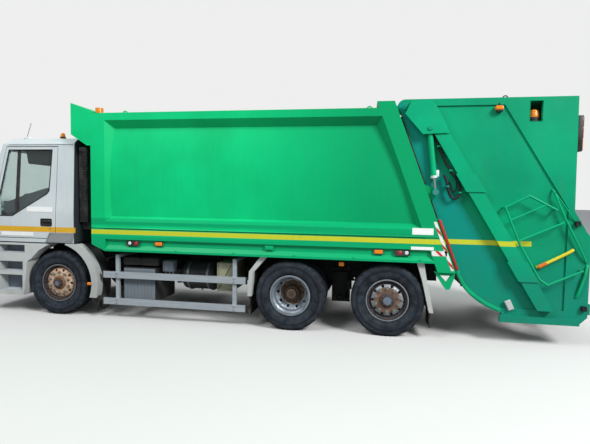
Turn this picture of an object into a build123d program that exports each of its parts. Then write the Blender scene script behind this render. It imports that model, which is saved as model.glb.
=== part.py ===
"""Three-axle garbage truck with a rear-loading compactor body, in millimetres.

The truck faces -X and stands on z = 0. Its left side is -Y. The origin lies on the ground
at the middle of the length and width. Lengths are set out from the axles, and heights from
the top of the frame, which itself sits on the wheels.
"""

import math
import os

from build123d import *

os.makedirs("parts", exist_ok=True)

# Overall sizes
WHEELBASE = 3805
TAG_SPACING = 1395
FRONT_OVERHANG = 1440
JOINT_OVERHANG = 890
TAILGATE_LENGTH = 1890
BODY_WIDTH = 2550
BODY_HEIGHT = 2230
CAB_WIDTH = 2420

# Axles and the frame's datum
OVERALL_LENGTH = FRONT_OVERHANG + WHEELBASE + TAG_SPACING + JOINT_OVERHANG + TAILGATE_LENGTH
FRONT_X = -OVERALL_LENGTH / 2
STEER_X = FRONT_X + FRONT_OVERHANG
DRIVE_X = STEER_X + WHEELBASE
TAG_X = DRIVE_X + TAG_SPACING
JOINT_X = TAG_X + JOINT_OVERHANG
TYRE_RADIUS = 515
WHEEL_Z = TYRE_RADIUS
FRAME_DEPTH = 270
TYRE_OVERLAP = 340
FRAME_BOTTOM = WHEEL_Z + TYRE_RADIUS - TYRE_OVERLAP
FRAME_TOP = FRAME_BOTTOM + FRAME_DEPTH

# Gaps
SEAT_GAP = 0.3
MOVING_GAP = 8


def behind(distance):
    """X of a place that lies this far behind the front axle."""
    return STEER_X + distance


def up(height):
    """Z of a place that lies this high above the top of the frame."""
    return FRAME_TOP + height


def outline(*points, mode=Mode.ADD):
    """Closed straight-edged face in the active sketch."""
    with BuildLine() as edge:
        Polyline(*points, close=True)
    make_face(edge.edges(), mode=mode)


def soft_outline(points, radii):
    """Closed face with a corner radius for each point, in the active sketch."""
    with BuildLine() as edge:
        FilletPolyline(*points, radius=radii, close=True)
    make_face(edge.edges())


def rect_points(x_low, x_high, z_low, z_high):
    """Corners of an upright rectangle."""
    return [(x_low, z_low), (x_high, z_low), (x_high, z_high), (x_low, z_high)]


def box(x_range, y_range, z_range, mode=Mode.ADD):
    """Block between three pairs of limits, in the active part."""
    middle = [(low + high) / 2 for low, high in (x_range, y_range, z_range)]
    size = [high - low for low, high in (x_range, y_range, z_range)]
    with Locations(tuple(middle)):
        Box(*size, mode=mode)


def wheel_plane(axle_x):
    """Plane through a wheel axis, with local x along +Y and local y upward."""
    return Plane(origin=(axle_x, 0, WHEEL_Z), x_dir=(0, 1, 0), z_dir=(1, 0, 0))


def wheel_axis(axle_x):
    return Axis((axle_x, 0, WHEEL_Z), (0, 1, 0))


def save(builder, name):
    builder.part.label = name
    export_step(builder.part, f"parts/{name}.step")


# Frame
RAIL_OUTER = 430
RAIL_FLANGE = 80
RAIL_WALL = 8
FRAME_START = behind(-1120)
FRAME_END = TAG_X + 780
CROSS_TUBE_RADIUS = 55
CROSS_TUBE_WALL = 10
RAIL_WEB = RAIL_OUTER - RAIL_WALL
RAIL_LIP = RAIL_OUTER - RAIL_FLANGE
CROSS_TUBE_X = [behind(-1020), behind(1150), behind(2450), (DRIVE_X + TAG_X) / 2, FRAME_END - 120]

with BuildPart() as chassis_frame:
    with BuildSketch(Plane.YZ.offset(FRAME_START)):
        outline(
            (-RAIL_OUTER, FRAME_BOTTOM),
            (-RAIL_LIP, FRAME_BOTTOM),
            (-RAIL_LIP, FRAME_BOTTOM + RAIL_WALL),
            (-RAIL_WEB, FRAME_BOTTOM + RAIL_WALL),
            (-RAIL_WEB, FRAME_TOP - RAIL_WALL),
            (-RAIL_LIP, FRAME_TOP - RAIL_WALL),
            (-RAIL_LIP, FRAME_TOP),
            (-RAIL_OUTER, FRAME_TOP),
        )
    extrude(amount=FRAME_END - FRAME_START)
    mirror(about=Plane.XZ)
    with BuildSketch(Plane.XZ):
        with Locations(*[(x, FRAME_TOP - FRAME_DEPTH / 2) for x in CROSS_TUBE_X]):
            Circle(CROSS_TUBE_RADIUS)
            Circle(CROSS_TUBE_RADIUS - CROSS_TUBE_WALL, mode=Mode.SUBTRACT)
    extrude(amount=RAIL_WEB, both=True)
save(chassis_frame, "chassis_frame")

# Engine, as one plain block with its feet on the rails
ENGINE_HALF_WIDTH = 320
ENGINE_X = (behind(-760), behind(360))
ENGINE_Z = (up(-350), up(230))
FOOT_Z = (up(-170), up(-110))

with BuildPart() as engine_block:
    box(ENGINE_X, (-ENGINE_HALF_WIDTH, ENGINE_HALF_WIDTH), ENGINE_Z)
    chamfer(engine_block.edges().filter_by(Axis.X), 60)
    for foot_x in (behind(-620), behind(200)):
        box((foot_x - 60, foot_x + 60), (-RAIL_WEB, RAIL_WEB), FOOT_Z)
save(engine_block, "engine_block")

# Wheels: places of the tyre centres, from the middle of the truck
TYRE_WIDTH = 300
FRONT_TYRE_Y = 1025
DRIVE_TYRE_Y = 1075
TWIN_SPACING = 345
TAG_TYRE_Y = 1055
BEAD_RADIUS = 287
FLANGE_RADIUS = 299
RIM_HALF = 118
HAND_HOLES = 10

# Steering
KINGPIN_Y = 850
KINGPIN_RADIUS = 25
EYE_RADIUS = 50
EYE_HALF = 50
EAR_RADIUS = 48
EAR_HEIGHT = 45
EAR_GAP = 5
SPINDLE_RADIUS = 40
STEER_SWEEP = TYRE_RADIUS + 105

# Front axle beam, with a dropped middle and an eye for each kingpin
BEAM_TOP = WHEEL_Z - 15
BEAM_DEPTH = 80
BEAM_HALF = 48
EYE_NECK = KINGPIN_Y - 75

with BuildPart() as front_axle:
    with BuildSketch(Plane.YZ.offset(STEER_X - BEAM_HALF)):
        outline(
            (-KINGPIN_Y, WHEEL_Z + EYE_HALF),
            (-EYE_NECK, WHEEL_Z + EYE_HALF),
            (-EYE_NECK + 130, BEAM_TOP),
            (EYE_NECK - 130, BEAM_TOP),
            (EYE_NECK, WHEEL_Z + EYE_HALF),
            (KINGPIN_Y, WHEEL_Z + EYE_HALF),
            (KINGPIN_Y, WHEEL_Z - EYE_HALF),
            (EYE_NECK, WHEEL_Z - EYE_HALF),
            (EYE_NECK - 130, BEAM_TOP - BEAM_DEPTH),
            (-EYE_NECK + 130, BEAM_TOP - BEAM_DEPTH),
            (-EYE_NECK, WHEEL_Z - EYE_HALF),
            (-KINGPIN_Y, WHEEL_Z - EYE_HALF),
        )
    extrude(amount=2 * BEAM_HALF)
    for face_x in (STEER_X - BEAM_HALF, STEER_X + BEAM_HALF):
        box(
            (face_x - 30, face_x + 30),
            (-EYE_NECK + 180, EYE_NECK - 180),
            (BEAM_TOP - BEAM_DEPTH + 20, BEAM_TOP - 20),
            mode=Mode.SUBTRACT,
        )
    for side in (-1, 1):
        with Locations((STEER_X, side * KINGPIN_Y, WHEEL_Z)):
            Cylinder(EYE_RADIUS, 2 * EYE_HALF)
            Cylinder(KINGPIN_RADIUS + SEAT_GAP, 2 * EYE_HALF, mode=Mode.SUBTRACT)
save(front_axle, "front_axle")

# Knuckles: a fork round the beam's eye, a kingpin and a spindle
EAR_INNER = EYE_HALF + EAR_GAP
EAR_OUTER = EAR_INNER + EAR_HEIGHT
PLATE_Y = (KINGPIN_Y + EYE_RADIUS + 6, KINGPIN_Y + 82)
SPINDLE_END = FRONT_TYRE_Y + 40

for side, hand in ((-1, "left"), (1, "right")):
    with BuildPart() as knuckle:
        plate_range = sorted((side * PLATE_Y[0], side * PLATE_Y[1]))
        box((STEER_X - 60, STEER_X + 60), plate_range, (WHEEL_Z - EAR_OUTER, WHEEL_Z + EAR_OUTER))
        for level in (-1, 1):
            ear_z = sorted((WHEEL_Z + level * EAR_INNER, WHEEL_Z + level * EAR_OUTER))
            ear_y = sorted((side * KINGPIN_Y, side * (PLATE_Y[0] + 1)))
            box((STEER_X - EAR_RADIUS, STEER_X + EAR_RADIUS), ear_y, ear_z)
            with Locations((STEER_X, side * KINGPIN_Y, sum(ear_z) / 2)):
                Cylinder(EAR_RADIUS, EAR_HEIGHT)
        with Locations((STEER_X, side * KINGPIN_Y, WHEEL_Z)):
            Cylinder(KINGPIN_RADIUS, 2 * EAR_OUTER)
        with BuildSketch(Plane.XZ.offset(-side * PLATE_Y[1])):
            with Locations((STEER_X, WHEEL_Z)):
                Circle(SPINDLE_RADIUS)
        extrude(amount=-side * (SPINDLE_END - PLATE_Y[1]))
    save(knuckle, f"knuckle_{hand}")


def tyre_profile(centre_y):
    """Half section of a tyre, across the wheel axis, in the active sketch."""
    half = TYRE_WIDTH / 2
    bead = RIM_HALF - 9
    with BuildLine() as section:
        for end in (-1, 1):
            side_mid = (centre_y + end * half, (BEAD_RADIUS + TYRE_RADIUS) / 2 - 5)
            shoulder = (centre_y + end * (half - 14), TYRE_RADIUS - 22)
            tread_end = (centre_y + end * (half - 32), TYRE_RADIUS - 4)
            rim_end = (centre_y + end * bead, BEAD_RADIUS + 14)
            foot = (centre_y + end * bead, BEAD_RADIUS)
            Polyline(foot, rim_end)
            ThreePointArc(rim_end, side_mid, shoulder)
            Line(shoulder, tread_end)
        ThreePointArc(
            (centre_y - half + 32, TYRE_RADIUS - 4),
            (centre_y, TYRE_RADIUS),
            (centre_y + half - 32, TYRE_RADIUS - 4),
        )
        Line((centre_y - bead, BEAD_RADIUS), (centre_y + bead, BEAD_RADIUS))
    make_face(section.edges())


def rim_barrel(centre_y):
    """Section of the rim's barrel, with its two flanges and drop centre, in the active sketch."""
    seat = BEAD_RADIUS - SEAT_GAP
    wall = 9
    outer = [
        (-RIM_HALF, FLANGE_RADIUS),
        (-RIM_HALF + wall - SEAT_GAP, FLANGE_RADIUS),
        (-RIM_HALF + wall - SEAT_GAP, seat),
        (-75, seat - 6),
        (-50, seat - 30),
        (50, seat - 30),
        (75, seat - 6),
        (RIM_HALF - wall + SEAT_GAP, seat),
        (RIM_HALF - wall + SEAT_GAP, FLANGE_RADIUS),
        (RIM_HALF, FLANGE_RADIUS),
    ]
    inner = [
        (RIM_HALF, seat - wall),
        (80, seat - wall - 6),
        (55, seat - 39),
        (-55, seat - 39),
        (-80, seat - wall - 6),
        (-RIM_HALF, seat - wall),
    ]
    outline(*[(centre_y + y, r) for y, r in outer + inner])


def single_rim(side, centre_y, axle_x, spindle_radius, bore_depth):
    """Rim with an outset disc, hand holes, hub and brake drum, for one tyre."""
    y = side * centre_y
    with BuildPart() as rim:
        with BuildSketch(wheel_plane(axle_x)):
            rim_barrel(y)
            outline(*[(y + side * a, r) for a, r in SINGLE_DISC])
            outline(*[(y + side * a, r) for a, r in SINGLE_HUB])
        revolve(axis=wheel_axis(axle_x))
        with Locations(Plane(origin=(axle_x, y, WHEEL_Z), x_dir=(1, 0, 0), z_dir=(0, side, 0))):
            with PolarLocations(HAND_HOLE_RADIUS, HAND_HOLES):
                Cylinder(HAND_HOLE_SIZE, 2 * RIM_HALF, align=(Align.CENTER, Align.CENTER, Align.MIN),
                         mode=Mode.SUBTRACT)
        with BuildSketch(Plane.XZ.offset(-(y - side * 120))):
            with Locations((axle_x, WHEEL_Z)):
                Circle(spindle_radius + SEAT_GAP)
        extrude(amount=-side * (120 + bore_depth), mode=Mode.SUBTRACT)
    return rim


# Disc, hub and drum sections: distance outboard of the tyre centre, and radius
SINGLE_DISC = [(42, 252), (54, 254), (84, 222), (104, 178), (106, 100), (92, 100), (90, 170), (72, 212)]
SINGLE_HUB = [
    (-95, 212),
    (-20, 212),
    (-20, 110),
    (60, 104),
    (118, 104),
    (130, 92),
    (136, 70),
    (160, 66),
    (166, 56),
    (166, 0),
    (-60, 0),
    (-60, 100),
    (-34, 118),
    (-34, 198),
    (-95, 198),
]
HAND_HOLE_RADIUS = 206
HAND_HOLE_SIZE = 22

WHEEL_SPOTS = [
    # name, axle x, tyre centre y, spindle radius, depth of the spindle bore past the tyre centre
    ("front", STEER_X, FRONT_TYRE_Y, SPINDLE_RADIUS, 45),
    ("tag", TAG_X, TAG_TYRE_Y, 50, 45),
]

for side, hand in ((-1, "left"), (1, "right")):
    for spot, axle_x, tyre_y, spindle, bore_depth in WHEEL_SPOTS:
        with BuildPart() as tyre:
            with BuildSketch(wheel_plane(axle_x)):
                tyre_profile(side * tyre_y)
            revolve(axis=wheel_axis(axle_x))
        save(tyre, f"tyre_{spot}_{hand}")
        save(single_rim(side, tyre_y, axle_x, spindle, bore_depth), f"rim_{spot}_{hand}")

# Twin wheels: both barrels carry one dished disc between them
TWIN_INNER_Y = DRIVE_TYRE_Y - TWIN_SPACING
TWIN_DISC = [
    # distance inboard of the outer tyre's centre, and radius
    (84, 277),
    (138, 205),
    (150, 170),
    (150, 108),
    (195, 108),
    (195, 170),
    (207, 205),
    (261, 277),
    (249, 277),
    (196, 206),
    (172, 180),
    (149, 206),
    (96, 277),
]
TWIN_HUB = [
    (-8, 0),
    (-8, 62),
    (0, 70),
    (66, 74),
    (72, 104),
    (150, 108),
    (195, 110),
    (316, 118),
    (316, 210),
    (440, 210),
    (440, 196),
    (330, 196),
    (330, 122),
    (455, 122),
    (455, 0),
]
DRIVE_SPINDLE = 60
DRIVE_SPINDLE_END = DRIVE_TYRE_Y - 180

for side, hand in ((-1, "left"), (1, "right")):
    with BuildPart() as tyres:
        with BuildSketch(wheel_plane(DRIVE_X)):
            tyre_profile(side * DRIVE_TYRE_Y)
            tyre_profile(side * TWIN_INNER_Y)
        revolve(axis=wheel_axis(DRIVE_X))
    save(tyres, f"tyres_drive_{hand}")
    with BuildPart() as twin_rims:
        with BuildSketch(wheel_plane(DRIVE_X)):
            rim_barrel(side * DRIVE_TYRE_Y)
            rim_barrel(side * TWIN_INNER_Y)
            outline(*[(side * (DRIVE_TYRE_Y - a), r) for a, r in TWIN_DISC])
            outline(*[(side * (DRIVE_TYRE_Y - a), r) for a, r in TWIN_HUB])
        revolve(axis=wheel_axis(DRIVE_X))
        with Locations(Plane(origin=(DRIVE_X, side * DRIVE_TYRE_Y, WHEEL_Z), x_dir=(1, 0, 0),
                             z_dir=(0, -side, 0))):
            with PolarLocations(222, HAND_HOLES):
                Cylinder(20, 320, align=(Align.CENTER, Align.CENTER, Align.MIN), mode=Mode.SUBTRACT)
        with BuildSketch(Plane.XZ.offset(-side * (DRIVE_TYRE_Y - 460))):
            with Locations((DRIVE_X, WHEEL_Z)):
                Circle(DRIVE_SPINDLE + SEAT_GAP)
        extrude(amount=-side * (DRIVE_SPINDLE_END + 5 - (DRIVE_TYRE_Y - 460)), mode=Mode.SUBTRACT)
    save(twin_rims, f"rims_drive_{hand}")

# Rear axles
CASING_RADIUS = 80
CASING_END = DRIVE_TYRE_Y - 475
DIFF_RADIUS = 200
TAG_TUBE_RADIUS = 65
TAG_TUBE_END = TAG_TYRE_Y - 150

with BuildPart() as drive_axle:
    with BuildSketch(wheel_plane(DRIVE_X)):
        outline(
            (0, 0),
            (0, DIFF_RADIUS),
            (90, DIFF_RADIUS - 20),
            (210, CASING_RADIUS + 10),
            (280, CASING_RADIUS),
            (CASING_END, CASING_RADIUS),
            (CASING_END, DRIVE_SPINDLE),
            (DRIVE_SPINDLE_END, DRIVE_SPINDLE),
            (DRIVE_SPINDLE_END, 0),
        )
    revolve(axis=wheel_axis(DRIVE_X))
    mirror(about=Plane.XZ)
    with BuildSketch(Plane.YZ.offset(DRIVE_X - 150)) as nose_root:
        with Locations((0, WHEEL_Z)):
            Circle(150)
    with BuildSketch(Plane.YZ.offset(DRIVE_X - 400)) as nose_end:
        with Locations((0, WHEEL_Z + 20)):
            Circle(85)
    loft()
save(drive_axle, "drive_axle")

# Prop shaft from the gearbox to the drive axle's nose, with a forked joint at each end
SHAFT_FRONT = (ENGINE_X[1], WHEEL_Z + 245)
SHAFT_REAR = (DRIVE_X - 400, WHEEL_Z + 20)
SHAFT_RADIUS = 50
SHAFT_FORK = 110
shaft_way = Vector(SHAFT_REAR[0] - SHAFT_FRONT[0], 0, SHAFT_REAR[1] - SHAFT_FRONT[1])
shaft_plane = Plane(origin=(SHAFT_FRONT[0], 0, SHAFT_FRONT[1]), x_dir=(0, 1, 0), z_dir=shaft_way)

with BuildPart() as prop_shaft:
    with BuildSketch(shaft_plane.offset(SHAFT_FORK)):
        Circle(SHAFT_RADIUS)
    extrude(amount=shaft_way.length - 2 * SHAFT_FORK)
    for fork_plane in (shaft_plane.offset(SHAFT_FORK), shaft_plane.offset(shaft_way.length - SHAFT_FORK)):
        with BuildSketch(fork_plane.offset(-SHAFT_FORK + 15)):
            Rectangle(2 * SHAFT_RADIUS + 10, 60)
            Rectangle(60, 2 * SHAFT_RADIUS + 10)
        extrude(amount=2 * SHAFT_FORK - 30)
    with BuildSketch(Plane.YZ.offset(SHAFT_FRONT[0])):
        with Locations((0, SHAFT_FRONT[1])):
            Circle(SHAFT_RADIUS + 22)
    extrude(amount=30)
    with BuildSketch(Plane.YZ.offset(SHAFT_REAR[0])):
        with Locations((0, SHAFT_REAR[1])):
            Circle(SHAFT_RADIUS + 22)
    extrude(amount=-30)
save(prop_shaft, "prop_shaft")

with BuildPart() as tag_axle:
    with BuildSketch(wheel_plane(TAG_X)):
        outline(
            (0, 0),
            (0, TAG_TUBE_RADIUS),
            (TAG_TUBE_END, TAG_TUBE_RADIUS),
            (TAG_TUBE_END, 50),
            (TAG_TYRE_Y + 40, 50),
            (TAG_TYRE_Y + 40, 0),
        )
    revolve(axis=wheel_axis(TAG_X))
    mirror(about=Plane.XZ)
save(tag_axle, "tag_axle")

# Leaf springs: one arched pack on each side of each axle, hung from the rails
LEAF_DEPTH = 46
HANGER_HALF = 35
SPRING_SPOTS = [
    # axle x, height of the seat on the axle, half length
    (STEER_X, BEAM_TOP, 800),
    (DRIVE_X, WHEEL_Z + CASING_RADIUS, 560),
    (TAG_X, WHEEL_Z + TAG_TUBE_RADIUS, 560),
]

with BuildPart() as leaf_springs:
    for axle_x, seat_z, half_length in SPRING_SPOTS:
        end_z = FRAME_BOTTOM - 30
        with BuildSketch(Plane.XZ.offset(RAIL_LIP)):
            with BuildLine():
                left_end = (axle_x - half_length, end_z)
                right_end = (axle_x + half_length, end_z)
                ThreePointArc(left_end, (axle_x, seat_z + 28), right_end)
                Line(right_end, (axle_x + half_length, end_z - 12))
                ThreePointArc(
                    (axle_x + half_length, end_z - 12),
                    (axle_x, seat_z + 28 - LEAF_DEPTH / 2),
                    (axle_x - half_length, end_z - 12),
                )
                Line((axle_x - half_length, end_z - 12), left_end)
            make_face()
            for end in (-1, 1):
                with Locations((axle_x + end * (half_length - HANGER_HALF), (FRAME_BOTTOM + end_z) / 2 - 15)):
                    Rectangle(2 * HANGER_HALF, FRAME_BOTTOM - end_z + 30)
            with Locations((axle_x, seat_z + 25)):
                Rectangle(150, 50)
        extrude(amount=RAIL_FLANGE)
    mirror(about=Plane.XZ)
save(leaf_springs, "leaf_springs")

# Front bumper, under the cab's front
CAB_HALF = CAB_WIDTH / 2
CAB_FRONT = behind(-1385)
CAB_BACK = behind(345)
CAB_FLOOR = up(210)
BUMPER_Z = (up(-660), up(-150))
BUMPER_BACK = behind(-1150)
BUMPER_WALL = 40
CAB_PIVOT_X = behind(-1285)
CAB_PIVOT_Z = up(-30)
CAB_PIVOT_PIN = 20
CAB_LUG_Y = (395, 425)
CAB_PIN_END = 505
TOW_Y = 500
TOW_RADIUS = 24
TOW_DEPTH = 120

with BuildPart() as front_bumper:
    with BuildSketch(Plane.XY.offset(BUMPER_Z[0])):
        soft_outline(
            [
                (FRONT_X, -CAB_HALF + 130),
                (FRONT_X + 90, -CAB_HALF),
                (BUMPER_BACK, -CAB_HALF),
                (BUMPER_BACK, CAB_HALF),
                (FRONT_X + 90, CAB_HALF),
                (FRONT_X, CAB_HALF - 130),
            ],
            [60, 60, 0, 0, 60, 60],
        )
    extrude(amount=BUMPER_Z[1] - BUMPER_Z[0])
    box(
        (FRONT_X + BUMPER_WALL + 80, BUMPER_BACK),
        (-CAB_HALF + BUMPER_WALL, CAB_HALF - BUMPER_WALL),
        (BUMPER_Z[0], BUMPER_Z[1] - BUMPER_WALL),
        mode=Mode.SUBTRACT,
    )
    for side in (-1, 1):
        box(
            (FRONT_X + 20, FRAME_START),
            sorted((side * RAIL_LIP, side * RAIL_OUTER)),
            (FRAME_BOTTOM, BUMPER_Z[1] - BUMPER_WALL / 2),
        )
    with BuildSketch(Plane.YZ.offset(FRONT_X)):
        for side in (-1, 1):
            with Locations((side * (CAB_HALF - 330), up(-400))):
                RectangleRounded(340, 190, 30)
    extrude(amount=60, mode=Mode.SUBTRACT)
    with BuildSketch(Plane.YZ.offset(FRONT_X)):
        with Locations((TOW_Y, up(-530))):
            Circle(TOW_RADIUS + 30)
    extrude(amount=TOW_DEPTH + 10)
    with BuildSketch(Plane.YZ.offset(FRONT_X)):
        with Locations((TOW_Y, up(-530))):
            Circle(TOW_RADIUS)
    extrude(amount=TOW_DEPTH, mode=Mode.SUBTRACT)
    for side in (-1, 1):
        lug_y = sorted((side * CAB_LUG_Y[0], side * CAB_LUG_Y[1]))
        with BuildSketch(Plane.XZ.offset(-lug_y[1])):
            with Locations((CAB_PIVOT_X, CAB_PIVOT_Z)):
                Circle(35)
            outline(
                (CAB_PIVOT_X - 35, CAB_PIVOT_Z),
                (CAB_PIVOT_X + 35, CAB_PIVOT_Z),
                (CAB_PIVOT_X + 80, BUMPER_Z[1] - BUMPER_WALL),
                (CAB_PIVOT_X - 35, BUMPER_Z[1] - BUMPER_WALL),
            )
        extrude(amount=CAB_LUG_Y[1] - CAB_LUG_Y[0])
        with BuildSketch(Plane.XZ.offset(-side * CAB_LUG_Y[1])):
            with Locations((CAB_PIVOT_X, CAB_PIVOT_Z)):
                Circle(CAB_PIVOT_PIN)
        extrude(amount=-side * (CAB_PIN_END - CAB_LUG_Y[1]))
save(front_bumper, "front_bumper")

with BuildPart() as headlamps:
    with BuildSketch(Plane.YZ.offset(FRONT_X + 8)):
        for side in (-1, 1):
            with Locations((side * (CAB_HALF - 330), up(-400))):
                RectangleRounded(340 - 2 * SEAT_GAP, 190 - 2 * SEAT_GAP, 30 - SEAT_GAP)
    extrude(amount=52)
save(headlamps, "headlamps")

# Entry steps under the doors: an outer panel with three treads, clear of the steered tyre
STEP_OUTER = CAB_HALF + 20
STEP_INNER = CAB_HALF - 230
STEP_FRONT = behind(-1120)
STEP_TOP = CAB_FLOOR - 20
STEP_BOTTOM = up(-660)
TREAD_RECESSES = [
    # lowest and highest z above the frame, front and rear x behind the front axle
    (30, 160, -1010, -540),
    (-270, -110, -1010, -580),
    (-580, -330, -1010, -590),
]

with BuildPart() as entry_steps:
    with BuildSketch(Plane.XZ.offset(STEP_INNER)):
        soft_outline(
            [
                (STEP_FRONT, STEP_BOTTOM),
                (behind(-570), STEP_BOTTOM),
                (behind(-500), up(-100)),
                (behind(-430), up(-60)),
                (behind(-290), up(80)),
                (behind(-150), up(160)),
                (behind(-150), STEP_TOP),
                (STEP_FRONT, STEP_TOP),
            ],
            [0, 20, 0, 20, 60, 0, 0, 0],
        )
    extrude(amount=STEP_OUTER - STEP_INNER)
    for z_low, z_high, x_low, x_high in TREAD_RECESSES:
        box(
            (behind(x_low), behind(x_high)),
            (-STEP_OUTER, -STEP_INNER - 60),
            (up(z_low), up(z_high)),
            mode=Mode.SUBTRACT,
        )
    with Locations((STEER_X, -KINGPIN_Y, WHEEL_Z)):
        Sphere(STEER_SWEEP, mode=Mode.SUBTRACT)
    box((STEP_FRONT, STEP_FRONT + 80), (-STEP_INNER, -RAIL_OUTER), (up(-230), up(-150)))
    mirror(about=Plane.XZ)
save(entry_steps, "entry_steps")

# Mudguards: a moulded rear half over each front wheel, and plain quarters at the rear wheels
ARCH_RADIUS = TYRE_RADIUS + 115
ARCH_DEPTH = 110
ARCH_Z = WHEEL_Z + 25
GUARD_OUTER = CAB_HALF + 25
GUARD_BOTTOM = WHEEL_Z - 190
REAR_GUARD_Y = (DRIVE_TYRE_Y - 475, BODY_WIDTH / 2 - 60)
SKIRT_BOTTOM = up(120)
STRIP_WIDTH = 60
GUARD_WALL = 14
REAR_GUARDS = [
    # axle x, direction from the axle, distances of the strip's top, bend and foot, heights of bend and foot
    (DRIVE_X, -1, TYRE_RADIUS - 175, TYRE_RADIUS + 40, TYRE_RADIUS + 60, up(-130), up(-480)),
    (TAG_X, 1, TYRE_RADIUS - 130, TYRE_RADIUS - 50, TYRE_RADIUS + 55, up(-130), up(-580)),
]

with BuildPart() as mudguards:
    with BuildSketch(Plane.XZ.offset(FRONT_TYRE_Y - 150)):
        with Locations((STEER_X + 10, ARCH_Z)):
            Circle(ARCH_RADIUS + ARCH_DEPTH)
            Circle(ARCH_RADIUS, mode=Mode.SUBTRACT)
        with BuildLine():
            Polyline(
                (STEER_X + 190, GUARD_BOTTOM),
                (STEER_X + 1000, GUARD_BOTTOM),
                (STEER_X + 1000, CAB_FLOOR - 8),
                (STEER_X + 190, CAB_FLOOR - 8),
                close=True,
            )
        make_face(mode=Mode.INTERSECT)
    extrude(amount=GUARD_OUTER - FRONT_TYRE_Y + 150)
    with BuildSketch(Plane.XZ.offset(FRONT_TYRE_Y - 150)):
        with Locations((STEER_X + 10, ARCH_Z)):
            Circle(ARCH_RADIUS + ARCH_DEPTH - 20)
            Circle(ARCH_RADIUS + 20, mode=Mode.SUBTRACT)
    extrude(amount=GUARD_OUTER - FRONT_TYRE_Y + 130, mode=Mode.SUBTRACT)
    with Locations((STEER_X, -KINGPIN_Y, WHEEL_Z)):
        Sphere(STEER_SWEEP, mode=Mode.SUBTRACT)
    box(
        (STEER_X + 640, STEER_X + 700),
        (-FRONT_TYRE_Y + 150, -RAIL_OUTER),
        (up(-120), up(-60)),
    )
    for axle_x, way, top, bend, foot, bend_z, foot_z in REAR_GUARDS:
        with BuildSketch(Plane.XZ.offset(REAR_GUARD_Y[0])):
            outline(
                (axle_x + way * top, SKIRT_BOTTOM),
                (axle_x + way * bend, bend_z),
                (axle_x + way * foot, foot_z),
                (axle_x + way * (foot + STRIP_WIDTH), foot_z),
                (axle_x + way * (bend + STRIP_WIDTH), bend_z + 20),
                (axle_x + way * (top + STRIP_WIDTH + 40), SKIRT_BOTTOM),
            )
        extrude(amount=REAR_GUARD_Y[1] - REAR_GUARD_Y[0])
        with BuildSketch(Plane.XZ.offset(REAR_GUARD_Y[0])):
            outline(
                (axle_x + way * (top + GUARD_WALL), SKIRT_BOTTOM),
                (axle_x + way * (bend + GUARD_WALL), bend_z),
                (axle_x + way * (foot + GUARD_WALL), foot_z),
                (axle_x + way * (foot + 200), foot_z),
                (axle_x + way * (bend + 300), SKIRT_BOTTOM),
            )
        extrude(amount=REAR_GUARD_Y[1] - REAR_GUARD_Y[0] - 30, mode=Mode.SUBTRACT)
    mirror(about=Plane.XZ)
save(mudguards, "mudguards")

# Side guards between the wheels: two rails a side on posts hung from the subframe
GUARD_RAIL_Y = (BODY_WIDTH / 2 - 105, BODY_WIDTH / 2 - 75)
GUARD_RAIL_X = (behind(TYRE_RADIUS + 300), DRIVE_X - TYRE_RADIUS - 145)
GUARD_RAIL_Z = [(up(-310), up(-210)), (up(-730), up(-630))]
GUARD_POST_X = [behind(1050), DRIVE_X - 850]
ARM_Z = (up(10), up(55))

with BuildPart() as side_guards:
    for rail_z in GUARD_RAIL_Z:
        box(GUARD_RAIL_X, (-GUARD_RAIL_Y[1], -GUARD_RAIL_Y[0]), rail_z)
    for post_x in GUARD_POST_X:
        box(
            (post_x - 30, post_x + 30),
            (-GUARD_RAIL_Y[0], -GUARD_RAIL_Y[0] + 40),
            (GUARD_RAIL_Z[1][0], ARM_Z[1]),
        )
        box((post_x - 30, post_x + 30), (-GUARD_RAIL_Y[0] + 40, -RAIL_OUTER), ARM_Z)
    mirror(about=Plane.XZ)
save(side_guards, "side_guards")

# Tanks on brackets outside the rails: an air tank on the left, a fuel tank on the right
TANK_TOP = up(-50)
BRACKET_WALL = 20
AIR_TANK_X = (behind(2020), behind(2560))
AIR_TANK_RADIUS = 225
AIR_TANK_Y = -760
FUEL_TANK_X = (behind(1150), behind(2350))
FUEL_TANK_Y = (520, 1120)
FUEL_TANK_Z = (up(-650), TANK_TOP)

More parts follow.
